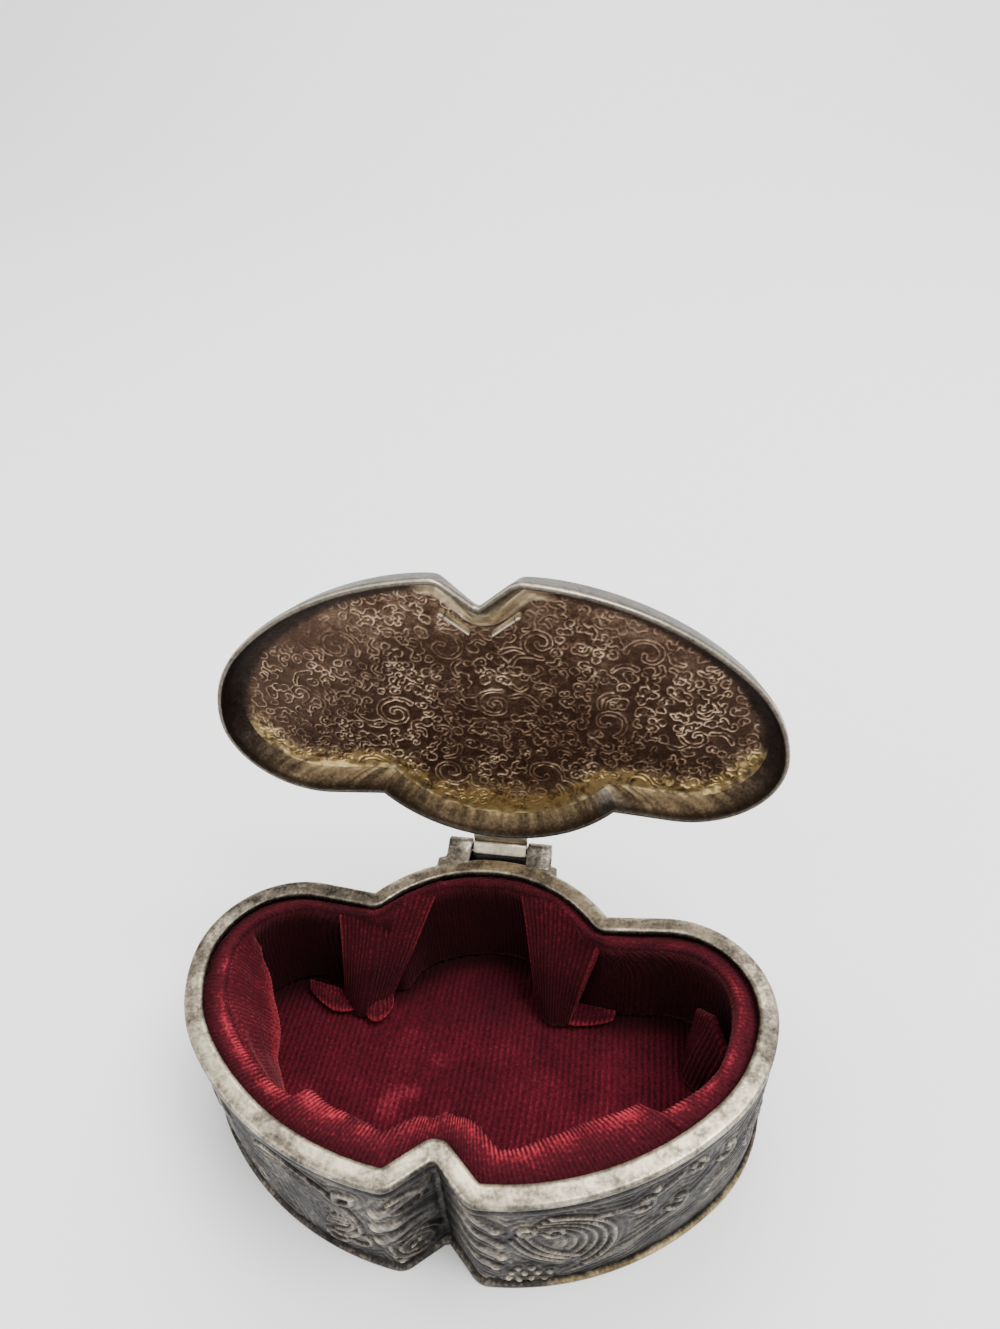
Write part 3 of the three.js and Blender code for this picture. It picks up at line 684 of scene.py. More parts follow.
def silver_material(name, speck=0.5, blotches=1.6):
    """Plated metal. Its first value runs from blackened to bright, as tarnish and wear and also as painted
    light and shade; gold and brown tint it.
    """
    s = Shader(name)
    fine = s.noise(1700, 5.0)
    broad = s.noise(520, 5.0)
    blotch = s.noise(150, 4.0)
    amount = s.stir(s.value("wear"), broad, 0.8 * speck)
    amount = s.stir(amount, blotch, blotches * speck)
    amount = s.stir(amount, fine, 1.15 * speck, clamp=True)
    grey = s.ramp(amount, (0.0, (0.006, 0.005, 0.0045)), (0.3, (0.040, 0.035, 0.031)),
                  (0.6, (0.172, 0.148, 0.115)), (1.0, (0.56, 0.495, 0.375)))
    brown = s.ramp(amount, (0.0, (0.012, 0.005, 0.003)), (0.35, (0.062, 0.032, 0.020)),
                   (0.7, (0.25, 0.17, 0.115)), (1.0, (0.66, 0.52, 0.36)))
    colour = s.mix(s.value("brown"), grey, brown)
    gilt = s.mix(1.0, colour, (1.0, 0.83, 0.47), "MULTIPLY")
    colour = s.mix(s.value("gold"), colour, gilt)
    s.set(Base_Color=colour, Metallic=0.9)
    s.set(Roughness=s.maths("MULTIPLY_ADD", amount, -0.20, 0.52))
    s.bump(fine, 0.22, 0.00014)
    return s.material


def velvet_material(name, dark, middle, light):
    """Ribbed velvet. Its values: pile is the height of the ribs; the second value lightens crushed nap
    and paints highlights where the nap would catch the light; hollow is painted shade, darkening the cloth to
    nearly black where it leans away."""
    s = Shader(name)
    patches = s.noise(130, 4.0)
    fibre = s.noise(1900, 5.0)
    amount = s.maths("MULTIPLY_ADD", s.value("pile"), 0.26, s.maths("MULTIPLY", s.value("rub"), 0.74))
    amount = s.stir(amount, patches, 0.45)
    amount = s.stir(amount, fibre, 1.0, clamp=True)
    colour = s.ramp(amount, (0.0, dark), (0.45, middle), (1.0, light))
    # Painted shade: the hollow value darkens the colour to nearly black and takes the sheen away.
    colour = s.mix(s.value("hollow"), colour, (0.008, 0.0006, 0.0014))
    sheen = s.maths("MULTIPLY_ADD", s.value("hollow"), -0.34, 0.36, clamp=True)
    s.set(Base_Color=colour, Roughness=0.9, Sheen_Weight=sheen, Sheen_Roughness=0.4)
    s.set(Sheen_Tint=(0.66, 0.19, 0.21))
    s.surface.inputs["Specular IOR Level"].default_value = 0.12
    s.bump(fibre, 0.7, 0.0003)
    return s.material


def plain_material(name, colour, roughness):
    s = Shader(name)
    s.set(Base_Color=colour, Roughness=roughness)
    return s.material


# Backdrop: a pale floor that sweeps up into a wall behind the box, in metres
BACKDROP_HALF_WIDTH = 5.0
BACKDROP_FRONT = -3.0
SWEEP_START = 0.9
SWEEP_RADIUS = 1.2
SWEEP_STEPS = 24
BACKDROP_TOP = 5.0


def make_backdrop():
    """The floor and the wall behind the box, as one sheet."""
    profile = [(BACKDROP_FRONT, 0.0), (SWEEP_START, 0.0)]
    for k in range(1, SWEEP_STEPS + 1):
        angle = math.pi / 2 * k / SWEEP_STEPS
        profile.append((SWEEP_START + SWEEP_RADIUS * math.sin(angle), SWEEP_RADIUS * (1 - math.cos(angle))))
    profile.append((SWEEP_START + SWEEP_RADIUS, BACKDROP_TOP))
    vertices = [(x, y, z) for y, z in profile for x in (-BACKDROP_HALF_WIDTH, BACKDROP_HALF_WIDTH)]
    faces = [(2 * k, 2 * k + 1, 2 * k + 3, 2 * k + 2) for k in range(len(profile) - 1)]
    mesh = bpy.data.meshes.new("backdrop")
    mesh.from_pydata(vertices, [], faces)
    mesh.shade_smooth()
    backdrop = bpy.data.objects.new("backdrop", mesh)
    bpy.context.scene.collection.objects.link(backdrop)
    backdrop.data.materials.append(plain_material("backdrop_paper", (0.92, 0.92, 0.92), 0.8))


# The room's light, and the lamps: name, place, target and size in metres, and power in watts
ROOM_COLOUR = (1.0, 0.995, 0.985, 1)
ROOM_STRENGTH = 1.32
LAMPS = (
    ("key", (0.5, -0.05, 1.15), (0, 0, 0), 0.6, 17),
    ("fill", (-0.8, -0.4, 0.9), (0, 0, 0), 0.8, 3),
    ("floor_glow", (0.0, 1.1, 1.5), (0.0, 0.55, 0.0), 1.2, 24),
)


def make_lights():
    world = bpy.data.worlds.new("studio")
    bpy.context.scene.world = world
    world.use_nodes = True
    background = world.node_tree.nodes["Background"]
    background.inputs["Color"].default_value = ROOM_COLOUR
    background.inputs["Strength"].default_value = ROOM_STRENGTH
    for name, place, target, size, power in LAMPS:
        data = bpy.data.lights.new(name, "AREA")
        data.energy = power
        data.size = size
        light = bpy.data.objects.new(name, data)
        light.location = place
        light.rotation_euler = (Vector(target) - Vector(place)).to_track_quat("-Z", "Y").to_euler()
        bpy.context.scene.collection.objects.link(light)


def oval(x, y, radius, start, sweep, stretch, tilt):
    """An arc of an oval that leans by the tilt."""
    line = curl(0, 0, radius, start, sweep, 1.0) * [stretch, 1]
    turn = math.radians(tilt)
    across = line @ [math.cos(turn), -math.sin(turn)]
    up = line @ [math.sin(turn), math.cos(turn)]
    return np.stack([x + across, y + up], axis=1)


def right_forms():
    """Strokes of the side's carving right of the V notch: line, half width and height. x runs along
    the plan from the notch and y is the height above the underside, in millimetres."""
    forms = []
    # Fronds that lean out of the notch, each with a knob at its tip and a thin line below it
    for start, *end in ((25.5, 12.0, 21.0), (20.5, 12.6, 16.0), (15.5, 12.6, 11.4), (10.5, 11.6, 7.6)):
        line = sway((0.6, start), end, 0.16)
        forms += [(line, 1.15, 0.75), (knob(*end), 1.2, 1.0), (line + [0.2, -2.3], 0.4, 0.5)]
    # A patch of beads at the foot
    for x, y in ((13.4, 3.2), (15.2, 2.6), (17.2, 3.0), (19.4, 2.8), (14.0, 5.4), (16.2, 5.0),
                 (18.4, 5.2), (15.2, 7.0), (17.4, 7.0), (20.4, 5.0)):
        forms.append((knob(x, y), 0.75, 0.95))
    # The large shell, its rays, its nested ovals and the two curls above it
    for k in range(3):
        forms.append((sway((14.4 + k, 17.4 + 1.5 * k), (22.5 + 1.1 * k, 8.6 + 0.6 * k), -0.12), 0.5, 0.75))
    for k in range(6):
        line = oval(19.4 + 0.3 * k, 16.2 - 0.3 * k, 3.4 + 1.25 * k, 128 - 5 * k, -150, 1.1, -14)
        forms.append((line, 0.42, 0.6 + 0.07 * k))
    forms.append((curl(16.8, 20.6, 1.5, 20, -330, 0.5), 0.5, 0.9))
    forms.append((curl(21.4, 19.8, 1.7, 200, 330, 0.5), 0.5, 0.9))
    # Long lines that flow towards the back, with small flowers on them
    for k in range(9):
        line = sway((23.0 + 1.3 * k, 3.6 + 0.35 * k), (64.0, 7.6 + 2.1 * k), 0.13 - 0.012 * k)
        forms.append((line, 0.42, 0.5))
    forms.append((sway((28.5, 22.0), (43.0, 24.0), -0.12), 0.8, 0.75))
    for x, y in ((36.3, 20.6), (42.8, 15.2), (53.0, 20.5)):
        forms += [(curl(x, y, 2.1, 200, 250, 0.7), 0.6, 0.9), (knob(x + 0.3, y + 0.2), 0.9, 0.95)]
    forms.append((knob(38.3, 23.7), 1.1, 0.95))
    for k in range(5):
        angle = 2 * math.pi * k / 5
        petal = knob(46.3 + 1.5 * math.cos(angle), 23.6 + 1.4 * math.sin(angle))
        forms.append((petal, 0.85, 0.95))
    forms.append((sway((49.4, 11.0), (52.6, 13.2), 0.2), 0.8, 0.85))
    return forms


def left_forms():
    """The same, left of the V notch."""
    forms = []
    # Fronds that lean out of the notch
    for start, *end in ((23.0, 11.3, 20.0), (16.5, 11.8, 14.8), (14.5, 11.6, 10.2)):
        line = sway((0.6, start), end, 0.14)
        forms += [(line, 1.3, 0.75), (knob(*end), 1.5, 1.0), (line + [0.2, -2.5], 0.4, 0.5)]
    # Eyes of the fronds, and knobs at the foot
    forms.append((oval(6.2, 22.4, 2.2, 30, 320, 1.5, 10), 0.45, 0.85))
    for k in range(2):
        forms.append((oval(5.4, 7.4, 2.3 + 1.4 * k, 20, 330, 1.35, 25), 0.45, 0.8))
    for x, y in ((4.8, 7.9), (6.2, 7.0), (9.6, 5.4), (8.6, 3.4)):
        forms.append((knob(x, y), 0.8, 0.95))
    # The large shell, the bow of leaves beside it, and the rings below
    for k in range(5):
        line = oval(23.0 + 0.7 * k, 16.6 - 0.3 * k, 2.4 + 1.4 * k, 10, 205, 1.45, 30)
        forms.append((line, 0.45, 0.6 + 0.08 * k))
    forms.append((sway((15.2, 23.2), (18.4, 19.8), 0.3), 0.9, 0.95))
    forms.append((sway((15.2, 23.2), (18.4, 19.8), -0.3), 0.6, 0.9))
    for k in range(3):
        line = sway((16.6 + 0.6 * k, 14.6 - 1.4 * k), (20.2 + 0.6 * k, 13.4 - 1.4 * k), 0.1)
        forms.append((line, 0.55, 0.85))
    forms.append((oval(16.0, 7.6, 1.9, 0, 330, 1.3, -20), 0.45, 0.8))
    forms.append((oval(20.4, 5.4, 1.5, 0, 330, 1.5, -20), 0.45, 0.8))
    # Long lines that flow towards the back, with small curls on them
    for k in range(9):
        line = sway((30.5 + 0.6 * k, 3.4 + 2.1 * k), (66.0, 6.6 + 2.2 * k), 0.10 - 0.02 * k)
        forms.append((line, 0.42, 0.5))
    for x, y in ((38.0, 8.4), (45.0, 19.0), (54.0, 12.0)):
        forms += [(curl(x, y, 2.2, 20, 260, 0.7), 0.6, 0.85), (knob(x, y), 0.9, 0.95)]
    return forms


# Where the guessed carving of the back starts and how far it keeps from the lugs, along the plan
BACK_CARVING_START = 66.0
BACK_CARVING_FROM_LUG = 4.0


def back_forms():
    """Strokes of the carving that no photograph shows: scrolls that roll up and down in turn."""
    tall = FIELD_HIGH - FIELD_LOW
    middle = (FIELD_LOW + FIELD_HIGH) / 2
    reach = HALF_LENGTH - HINGE_HALF_WIDTH - BACK_CARVING_FROM_LUG - BACK_CARVING_START
    waves = round(reach / (0.72 * tall))
    pitch = reach / waves
    forms = []
    for k in range(waves + 1):
        x = BACK_CARVING_START + pitch * k
        up = 1 if k % 2 == 0 else -1
        for turn in range(4):
            line = oval(x, middle + up * 2.2, 2.2 + 1.4 * turn, up * 200, up * -290, 1.15, 10)
            forms.append((line, 0.45, 0.55 + 0.1 * turn))
        foot = middle - up * 0.34 * tall
        line = sway((x + 0.2 * pitch, foot), (x + 0.85 * pitch, foot + up * 2.4), up * 0.3)
        forms.append((line, 1.0, 0.8))
        forms.append((knob(x, middle + up * 2.2), 1.1, 0.9))
    return forms


# Nested lines that flow round the strokes of the sides
FLOW_PITCH = 1.3
FLOW_HEIGHT = 0.24


def side_carving(forms):
    """Height map of the side, from 0 to 1: raised strokes with nested flow lines between them."""
    carving = Raster((0, 0), (HALF_LENGTH, BASE_HEIGHT), 0.1)
    near = Raster((0, 0), (HALF_LENGTH, BASE_HEIGHT), 0.1, fill=5.0)
    for line, half_width, height in forms + back_forms():
        carving.raise_stroke(line, half_width, height, round_section)
        near.bring_near(line, 5.0)
    flow = FLOW_HEIGHT * ribs(near.field, FLOW_PITCH)
    swell = 0.22 * bump(near.field, 0, 1.6)
    carving.field = np.maximum(carving.field, (flow + swell) * (near.field < 4.9))
    return carving


def make_base(material):
    """The cast base as one skin, from the middle of its underside up the side and down inside."""
    stations = Stations(0.33)
    right = side_carving(right_forms())
    left = side_carving(left_forms())
    right_soft = right.softened(1.0)
    left_soft = left.softened(1.0)
    skin = Skin("wear", "gold", "brown")
    along = stations.along
    on_right = stations.side > 0
    y = stations.point[:, 1]
    # Painted shade in the V notch, how uneven the rim, painted light that brightens the rim's front and
    # darkens its left side towards the back, and where the foot is gilt
    notch_shade_factor = 1 - 0.9 * bump(along, 0, 4.6)
    uneven = 0.14 * Wander(41, 3.0)(along * stations.side)
    front = 0.14 * smooth(0, -22, y) - 0.07 + 0.02 * smooth(0, 20, y)
    front = front - 0.07 * ~on_right * smooth(50, 80, along)
    gilt = 0.9 * smooth(16, 24, along) * (1 - smooth(60, 72, along)) * on_right
    rings = []
    wear = []
    gold = []

    def lay(inset, z, worn_and_lit, gilded=0.0):
        rings.append(stations.ring(inset, z))
        wear.append(np.broadcast_to(worn_and_lit, (stations.count,)))
        gold.append(np.broadcast_to(gilded, (stations.count,)))

    lay(0.3, 0.0, 0.4)
    lay(0.0, 0.25, 0.10 + 0.3 * gilt, gilt)
    lay(0.0, FOOT_HEIGHT - 0.2, 0.36 + 0.4 * gilt, gilt)
    lay(0.2, FOOT_HEIGHT + 0.1, 0.36 + 0.4 * gilt, gilt)
    lay(GROUND_INSET, FIELD_LOW - 0.1, 0.15)
    for z in np.arange(FIELD_LOW, FIELD_HIGH + 0.15, 0.3):
        fade = max(0.0, min(1.0, (z - FIELD_LOW) / 0.5, (FIELD_HIGH - z) / 0.5))
        level = np.full(stations.count, z)
        height = np.where(on_right, right.read(along, level), left.read(along, level))
        under = np.where(on_right, right.read(along, level, right_soft), left.read(along, level, left_soft))
        height = height * smooth(0, 1.2, along)
        shown = 0.140 + 0.74 * (height - under) + 0.15 * height + 0.10 * bump(along, 14, 9)
        lay(GROUND_INSET - SIDE_CARVING * height * fade, z, np.clip(shown * notch_shade_factor, 0, 1))
    # The band under the rim darkens upwards to its least just below the rim's edge: painted shade under the
    # rim.
    for inset, z, worn_and_lit in (
        (GROUND_INSET, FIELD_HIGH + 0.1, 0.22),
        (BAND_INSET + 0.1, BAND_LOW, 0.28),
        (BAND_INSET - 0.15, BAND_LOW + 0.5, 0.20),
        (BAND_INSET - BAND_SWELL, (BAND_LOW + BAND_TOP) / 2, 0.15),
        (BAND_INSET - 0.15, BAND_TOP - 0.5, 0.12),
        (BAND_INSET + 0.1, BAND_TOP, 0.06),
        (0.2, BASE_HEIGHT - RIM_EDGE_HEIGHT, 0.12),
        (0.0, BASE_HEIGHT - 1.15, 0.42),
    ):
        lay(inset, z, worn_and_lit * notch_shade_factor)
    # The rim: its rounded outer edge is made brightest as a painted highlight, and front adds painted light
    # to the rim's front.
    lay(0.0, BASE_HEIGHT - 0.6, 0.58 * notch_shade_factor + uneven)
    lay(0.1, BASE_HEIGHT - 0.3, 0.62 * (0.5 + 0.5 * notch_shade_factor) + uneven + front)
    lay(0.3, BASE_HEIGHT - 0.1, 0.80 + uneven + front)
    lay(0.6, BASE_HEIGHT, 0.72 + uneven + front, 0.15)
    lay(1.5, BASE_HEIGHT, 0.72 - uneven + front, 0.12)
    lay(2.5, BASE_HEIGHT, 0.76 - 0.5 * uneven + front, 0.12)
    lay(RIM_WIDTH - 0.2, BASE_HEIGHT, 0.70 + front, 0.15)
    lay(RIM_WIDTH, BASE_HEIGHT - 0.2, 0.45)
    lay(RIM_WIDTH, BASE_HEIGHT - RIM_LIP_DEPTH, 0.12)
    lay(WALL, BASE_HEIGHT - RIM_LIP_DEPTH - (RIM_WIDTH - WALL), 0.1)
    lay(WALL, 15, 0.1)
    lay(WALL, FLOOR_THICKNESS, 0.1)
    first = skin.add_rings(rings, wear=wear, gold=gold)
    last = first + (len(rings) - 1) * stations.count
    skin.close(first, stations.count, (*CENTRE, 0.0), upward=False, wear=0.4)
    skin.close(last, stations.count, (*CENTRE, FLOOR_THICKNESS), upward=True, wear=0.1)
    piece = skin.build("base_casting", material)
    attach(piece, "base")
    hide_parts("base")


def axis_ring(x, size, angle):
    """A ring about the hinge's axis."""
    return np.column_stack([x + 0 * angle, HINGE_Y + size * np.cos(angle), HINGE_Z + size * np.sin(angle)])


def barrel(skin, start, end, radius, bore, section, wear):
    """A hollow barrel about the hinge's axis. The section gives the outer radius at each angle."""
    angle = np.linspace(0, 2 * math.pi, 64, endpoint=False)
    outer = radius * section(angle)
    places = ((start + EDGE_ROUND, outer), (end - EDGE_ROUND, outer), (end, outer - EDGE_ROUND),
              (end, bore), (start, bore), (start, outer - EDGE_ROUND))
    rings = [axis_ring(x, size, angle) for x, size in places]
    skin.add_rings(rings, outward=False, looped=True, wear=wear)


def slab(skin, outline, low, high, edge, wear=0.4):
    """A plate with softened edges over an outline that is listed clockwise from above."""
    outline = np.asarray(outline, float)
    middle = outline.mean(axis=0)
    ahead = np.roll(outline, -1, axis=0) - np.roll(outline, 1, axis=0)
    normal = np.stack([ahead[:, 1], -ahead[:, 0]], axis=1)
    normal /= np.maximum(np.linalg.norm(normal, axis=1), 1e-9)[:, None]
    inner = outline + normal * edge
    rings = []
    for points, z in ((inner, low), (outline, low + edge), (outline, high - edge), (inner, high)):
        rings.append(np.column_stack([points, np.full(len(points), z)]))
    first = skin.add_rings(rings, wear=wear)
    skin.close(first, len(outline), (*middle, low), upward=False, wear=wear)
    skin.close(first + 3 * len(outline), len(outline), (*middle, high), upward=True, wear=wear)


# The lugs: their fillet at the rim, the height and reach of their section, and the web between them
LUG_FILLET = 1.6
LUG_RIM_HEIGHT = 30.6
LUG_UNDER = 1.9
LUG_OVER_RIM = 2.2
LUG_CROWN = 0.35
WEB_TOP = 27.9
WEB_THICKNESS = 0.9


def lug_outline(side):
    """Plan of one lug, clockwise from above, its outer corner filleted into the rim."""
    inner = KNUCKLE_HALF_WIDTH + SIDE_CLEARANCE
    root = BACK_Y - RIM_WIDTH + 0.4
    edge = BACK_Y - 0.9
    points = [(inner, root), (inner, HINGE_Y), (HINGE_HALF_WIDTH, HINGE_Y)]
    for k in range(7):
        angle = math.pi / 2 * k / 6
        x = HINGE_HALF_WIDTH + LUG_FILLET * (1 - math.cos(angle))
        points.append((x, edge + LUG_FILLET * (1 - math.sin(angle))))
    points.append((HINGE_HALF_WIDTH + LUG_FILLET, root - 0.6))
    points = np.array(points)
    if side < 0:
        points = (points * [-1, 1])[::-1]
    return points


def lug_section(angle):
    """A lug's section about the hinge's axis: round behind and above, and reaching forward to the rim."""
    forward = -np.cos(angle)
    up = np.sin(angle)
    top = math.asin((HINGE_Z + BARREL_RADIUS - LUG_RIM_HEIGHT) / (HINGE_Y - BACK_Y))
    slope = BARREL_RADIUS / np.maximum(forward * math.sin(top) + up * math.cos(top), 0.05)
    under = LUG_UNDER / np.maximum(-up, 0.05)
    front = (HINGE_Y - BACK_Y + LUG_OVER_RIM) / np.maximum(forward, 0.05)
    reach = np.minimum(np.minimum(slope, under), front)
    ahead = (forward > 0) & (np.arctan2(up, forward) < math.pi / 2 - top)
    crown = 1 + LUG_CROWN * bump(np.arctan2(up, -forward), math.radians(80), math.radians(70))
    return crown * np.where(ahead, np.maximum(reach, BARREL_RADIUS), BARREL_RADIUS) / BARREL_RADIUS


def make_lugs(material):
    """The two lugs with their barrels, and the thin web of metal under the knuckle."""
    skin = Skin("wear", "gold", "brown")
    bore = PIN_RADIUS + PIN_CLEARANCE
    for side in (-1, 1):
        slab(skin, lug_outline(side), BASE_HEIGHT - LUG_THICKNESS, BASE_HEIGHT - 0.03, 0.12, wear=0.62)
        ends = sorted([side * (KNUCKLE_HALF_WIDTH + SIDE_CLEARANCE), side * HINGE_HALF_WIDTH])
        barrel(skin, *ends, BARREL_RADIUS, bore, lug_section, wear=0.50)
    reach = KNUCKLE_HALF_WIDTH + SIDE_CLEARANCE + 0.5
    web = [(-reach, BACK_Y - 0.6), (-reach, HINGE_Y + 0.9), (reach, HINGE_Y + 0.9), (reach, BACK_Y - 0.6)]
    # The web is coloured nearly black, painted shade for the shadow under the knuckle.
    slab(skin, web, WEB_TOP - WEB_THICKNESS, WEB_TOP, 0.12, wear=0.04)
    piece = skin.build("hinge_lugs", material)
    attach(piece, "base")


def make_pin(material):
    """The wire through the three barrels, its ends rounded."""
    skin = Skin("wear", "gold", "brown")
    count = 32
    angle = np.linspace(0, 2 * math.pi, count, endpoint=False)
    end = HINGE_HALF_WIDTH
    places = ((-end, PIN_RADIUS - EDGE_ROUND), (EDGE_ROUND - end, PIN_RADIUS), (end - EDGE_ROUND, PIN_RADIUS),
              (end, PIN_RADIUS - EDGE_ROUND))
    rings = [axis_ring(x, size, angle) for x, size in places]
    first = skin.add_rings(rings, outward=False, wear=0.6)
    skin.close(first, count, (-end, HINGE_Y, HINGE_Z), upward=True, wear=0.6)
    skin.close(first + 3 * count, count, (end, HINGE_Y, HINGE_Z), upward=False, wear=0.6)
    piece = skin.build("hinge_pin_wire", material)
    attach(piece, "base")
    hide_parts("hinge_pin")


def opened(points):
    """Turns points of the shut lid, whose edge is at height 0, to the open lid's place."""
    angle = math.radians(OPEN_ANGLE)
    y = points[:, 1] - HINGE_Y
    z = points[:, 2] + BASE_HEIGHT + LID_RIM_GAP - HINGE_Z
    return np.column_stack([
        points[:, 0],
        HINGE_Y + y * math.cos(angle) + z * math.sin(angle),
        HINGE_Z - y * math.sin(angle) + z * math.cos(angle),
    ])


def lid_forms():
    """Main forms of the lid's top, in plan, mirrored about the middle: lines and half widths."""

    def at(across, up):
        return across * BODY_DEPTH, CENTRE[1] + up * BODY_DEPTH

    forms = [(knob(*at(0, 0)), 0.075 * BODY_DEPTH)]
    for k in range(8):
        angle = (k + 0.5) * math.pi / 4
        inner = at(0.085 * math.cos(angle), 0.075 * math.sin(angle))
        outer = at(0.18 * math.cos(angle), 0.15 * math.sin(angle))
        forms.append((sway(inner, outer, 0.15), 0.04 * BODY_DEPTH))
    for x, y, radius, turn in ((0.5, 0.02, 0.2, 1), (0.24, 0.3, 0.1, -1), (0.29, -0.29, 0.12, -1)):
        line = curl(*at(x, y), radius * BODY_DEPTH, 190 * turn, -430 * turn, 0.3)
        forms.append((line, 0.036 * BODY_DEPTH))
    forms.append((sway(at(0.18, -0.06), at(0.66, -0.2), -0.3), 0.034 * BODY_DEPTH))
    forms.append((sway(at(0.07, -0.4), at(0.66, -0.26), -0.18), 0.03 * BODY_DEPTH))
    forms.append((sway(at(0.7, 0.12), at(0.4, 0.22), -0.2), 0.03 * BODY_DEPTH))
    return forms


# Nested lines that flow round the strokes of the lid's top
LID_FLOW_PITCH = 1.5
LID_FLOW_HEIGHT = 0.22


def lid_top_carving():
    """Height map of the lid's top for x from 0 up, from 0 to 1."""
    low = (-1, TIP_Y)
    high = (HALF_WIDTH, BACK_Y)
    reach = 6.0
    carving = Raster(low, high, 0.15)
    near = Raster(low, high, 0.15, fill=reach)
    for line, half_width in lid_forms():
        section = round_section if len(line) == 2 else fluted_section
        carving.raise_stroke(line, half_width, 0.95, section)
        near.bring_near(line, reach)
    flow = LID_FLOW_HEIGHT * ribs(near.field, LID_FLOW_PITCH)
    carving.field = np.maximum(carving.field, flow * (near.field < reach - 0.1))
    return carving


def lid_dip(along):
    """How far the lid's top and ceiling dip over the V notch."""
    return LID_NOTCH_DIP * np.exp(-(along / LID_NOTCH_REACH) ** 2)


def cove_height(depth):
    """Height of the lid's inner surface near its wall: a hollow quarter round."""
    across = np.clip((LID_WALL + LID_COVE_WIDTH - depth) / LID_COVE_WIDTH, 0, 1)
    return LID_CEILING - LID_COVE + LID_COVE * np.sqrt(np.maximum(1 - across ** 2, 0))


# Scrolls inside the lid: their spacing, how far their influence reaches, and the line round them
SCROLL_SPACING = 2.35
BIG_SCROLL_SPACING = 19.0
SCROLL_REACH = 2.4
BIG_SCROLL_REACH = 9.0
LINE_FROM_SCROLL = 0.42
LINE_HALF_WIDTH = 0.17


def heading(angle):
    """A step of length 1 in a direction, in radians."""
    return np.array([math.cos(angle), math.sin(angle)])


def scroll_lines():
    """Height map of the fine raised lines inside the lid: outlines drawn round seeded scrolls, with
    a few large scrolls and fronds among many small ones."""
    pick = np.random.default_rng(11)
    low = (-HALF_WIDTH, TIP_Y)
    high = (HALF_WIDTH, BACK_Y)
    near = Raster(low, high, 0.1, fill=SCROLL_REACH)
    large = Raster(low, high, 0.5, fill=BIG_SCROLL_REACH)
    for row in range(math.ceil(BODY_DEPTH / BIG_SCROLL_SPACING) + 1):
        for column in range(-5, 6):
            x = (column + 0.5 * (row % 2)) * BIG_SCROLL_SPACING + pick.uniform(-2.5, 2.5)
            y = TIP_Y + row * BIG_SCROLL_SPACING * 0.9 + pick.uniform(-2.5, 2.5)
            size = pick.uniform(2.6, 4.4)
            turn = pick.choice([-1, 1])
            group = [curl(x, y, size, pick.uniform(0, 360), turn * pick.uniform(300, 520), 0.16)]
            for _ in range(2):
                away = pick.uniform(0, 2 * math.pi)
                root = np.array([x, y]) + size * heading(away)
                tip = root + pick.uniform(3, 5.5) * heading(away + 0.9)
                group.append(sway(root, tip, turn * 0.25))
            for line in group:
                near.bring_near(line, SCROLL_REACH)
                large.bring_near(line, BIG_SCROLL_REACH)
    rows = math.ceil(BODY_DEPTH / (SCROLL_SPACING * 0.86))
    columns = math.ceil(HALF_WIDTH / SCROLL_SPACING)
    for row in range(rows + 1):
        for column in range(-columns, columns + 1):
            x = (column + 0.5 * (row % 2)) * SCROLL_SPACING + pick.uniform(-1.2, 1.2)
            y = TIP_Y + row * SCROLL_SPACING * 0.86 + pick.uniform(-1.2, 1.2)
            start = pick.uniform(0, 360)
            turn = pick.choice([-1, 1])
            kind = pick.uniform()
            size = pick.uniform(0.5, 1.05)
            sweep = pick.uniform(230, 420)
            if large.read(x, y) < size + 0.7:
                continue
            if kind < 0.55:
                line = curl(x, y, size, start, turn * sweep, 0.15)
            elif kind < 0.8:
                away = size * 1.3 * heading(math.radians(start))
                line = sway(np.array([x, y]) - away, np.array([x, y]) + away, turn * 0.35)
            else:
                line = curl(x, y, size * 0.7, start, turn * 250, 0.9)
            near.bring_near(line, SCROLL_REACH)
    x, y = np.meshgrid(near.x, near.y)
    ragged = 0.16 * Wander(12, 0.9)(x, y)
    fainter = 0.62 + 0.38 * smooth(-0.5, 0.4, Wander(13, 8.0)(x, y))
    fainter = fainter - 0.35 * smooth(-2, -22, y) - 0.25 * smooth(-14, -40, x)
    width = LINE_HALF_WIDTH * (1 + 0.25 * Wander(14, 2.0)(x, y))
    lines = line_section((near.field + ragged - LINE_FROM_SCROLL) / width)
    near.field = lines * fainter * (1 - 0.6 * smooth(-0.1, 0.5, Wander(15, 0.9)(x, y)))
    return near


# How far in from its edge the lid's inner surface changes over to the fine grid
LID_FIELD_EDGE = 3.4


def streaks(along):
    """Uneven brightness along the plan, from 0 to 1."""
    return 0.5 + 0.5 * np.clip(Wander(17, 1.3)(along) + 0.7 * Wander(18, 0.6)(along), -1, 1)


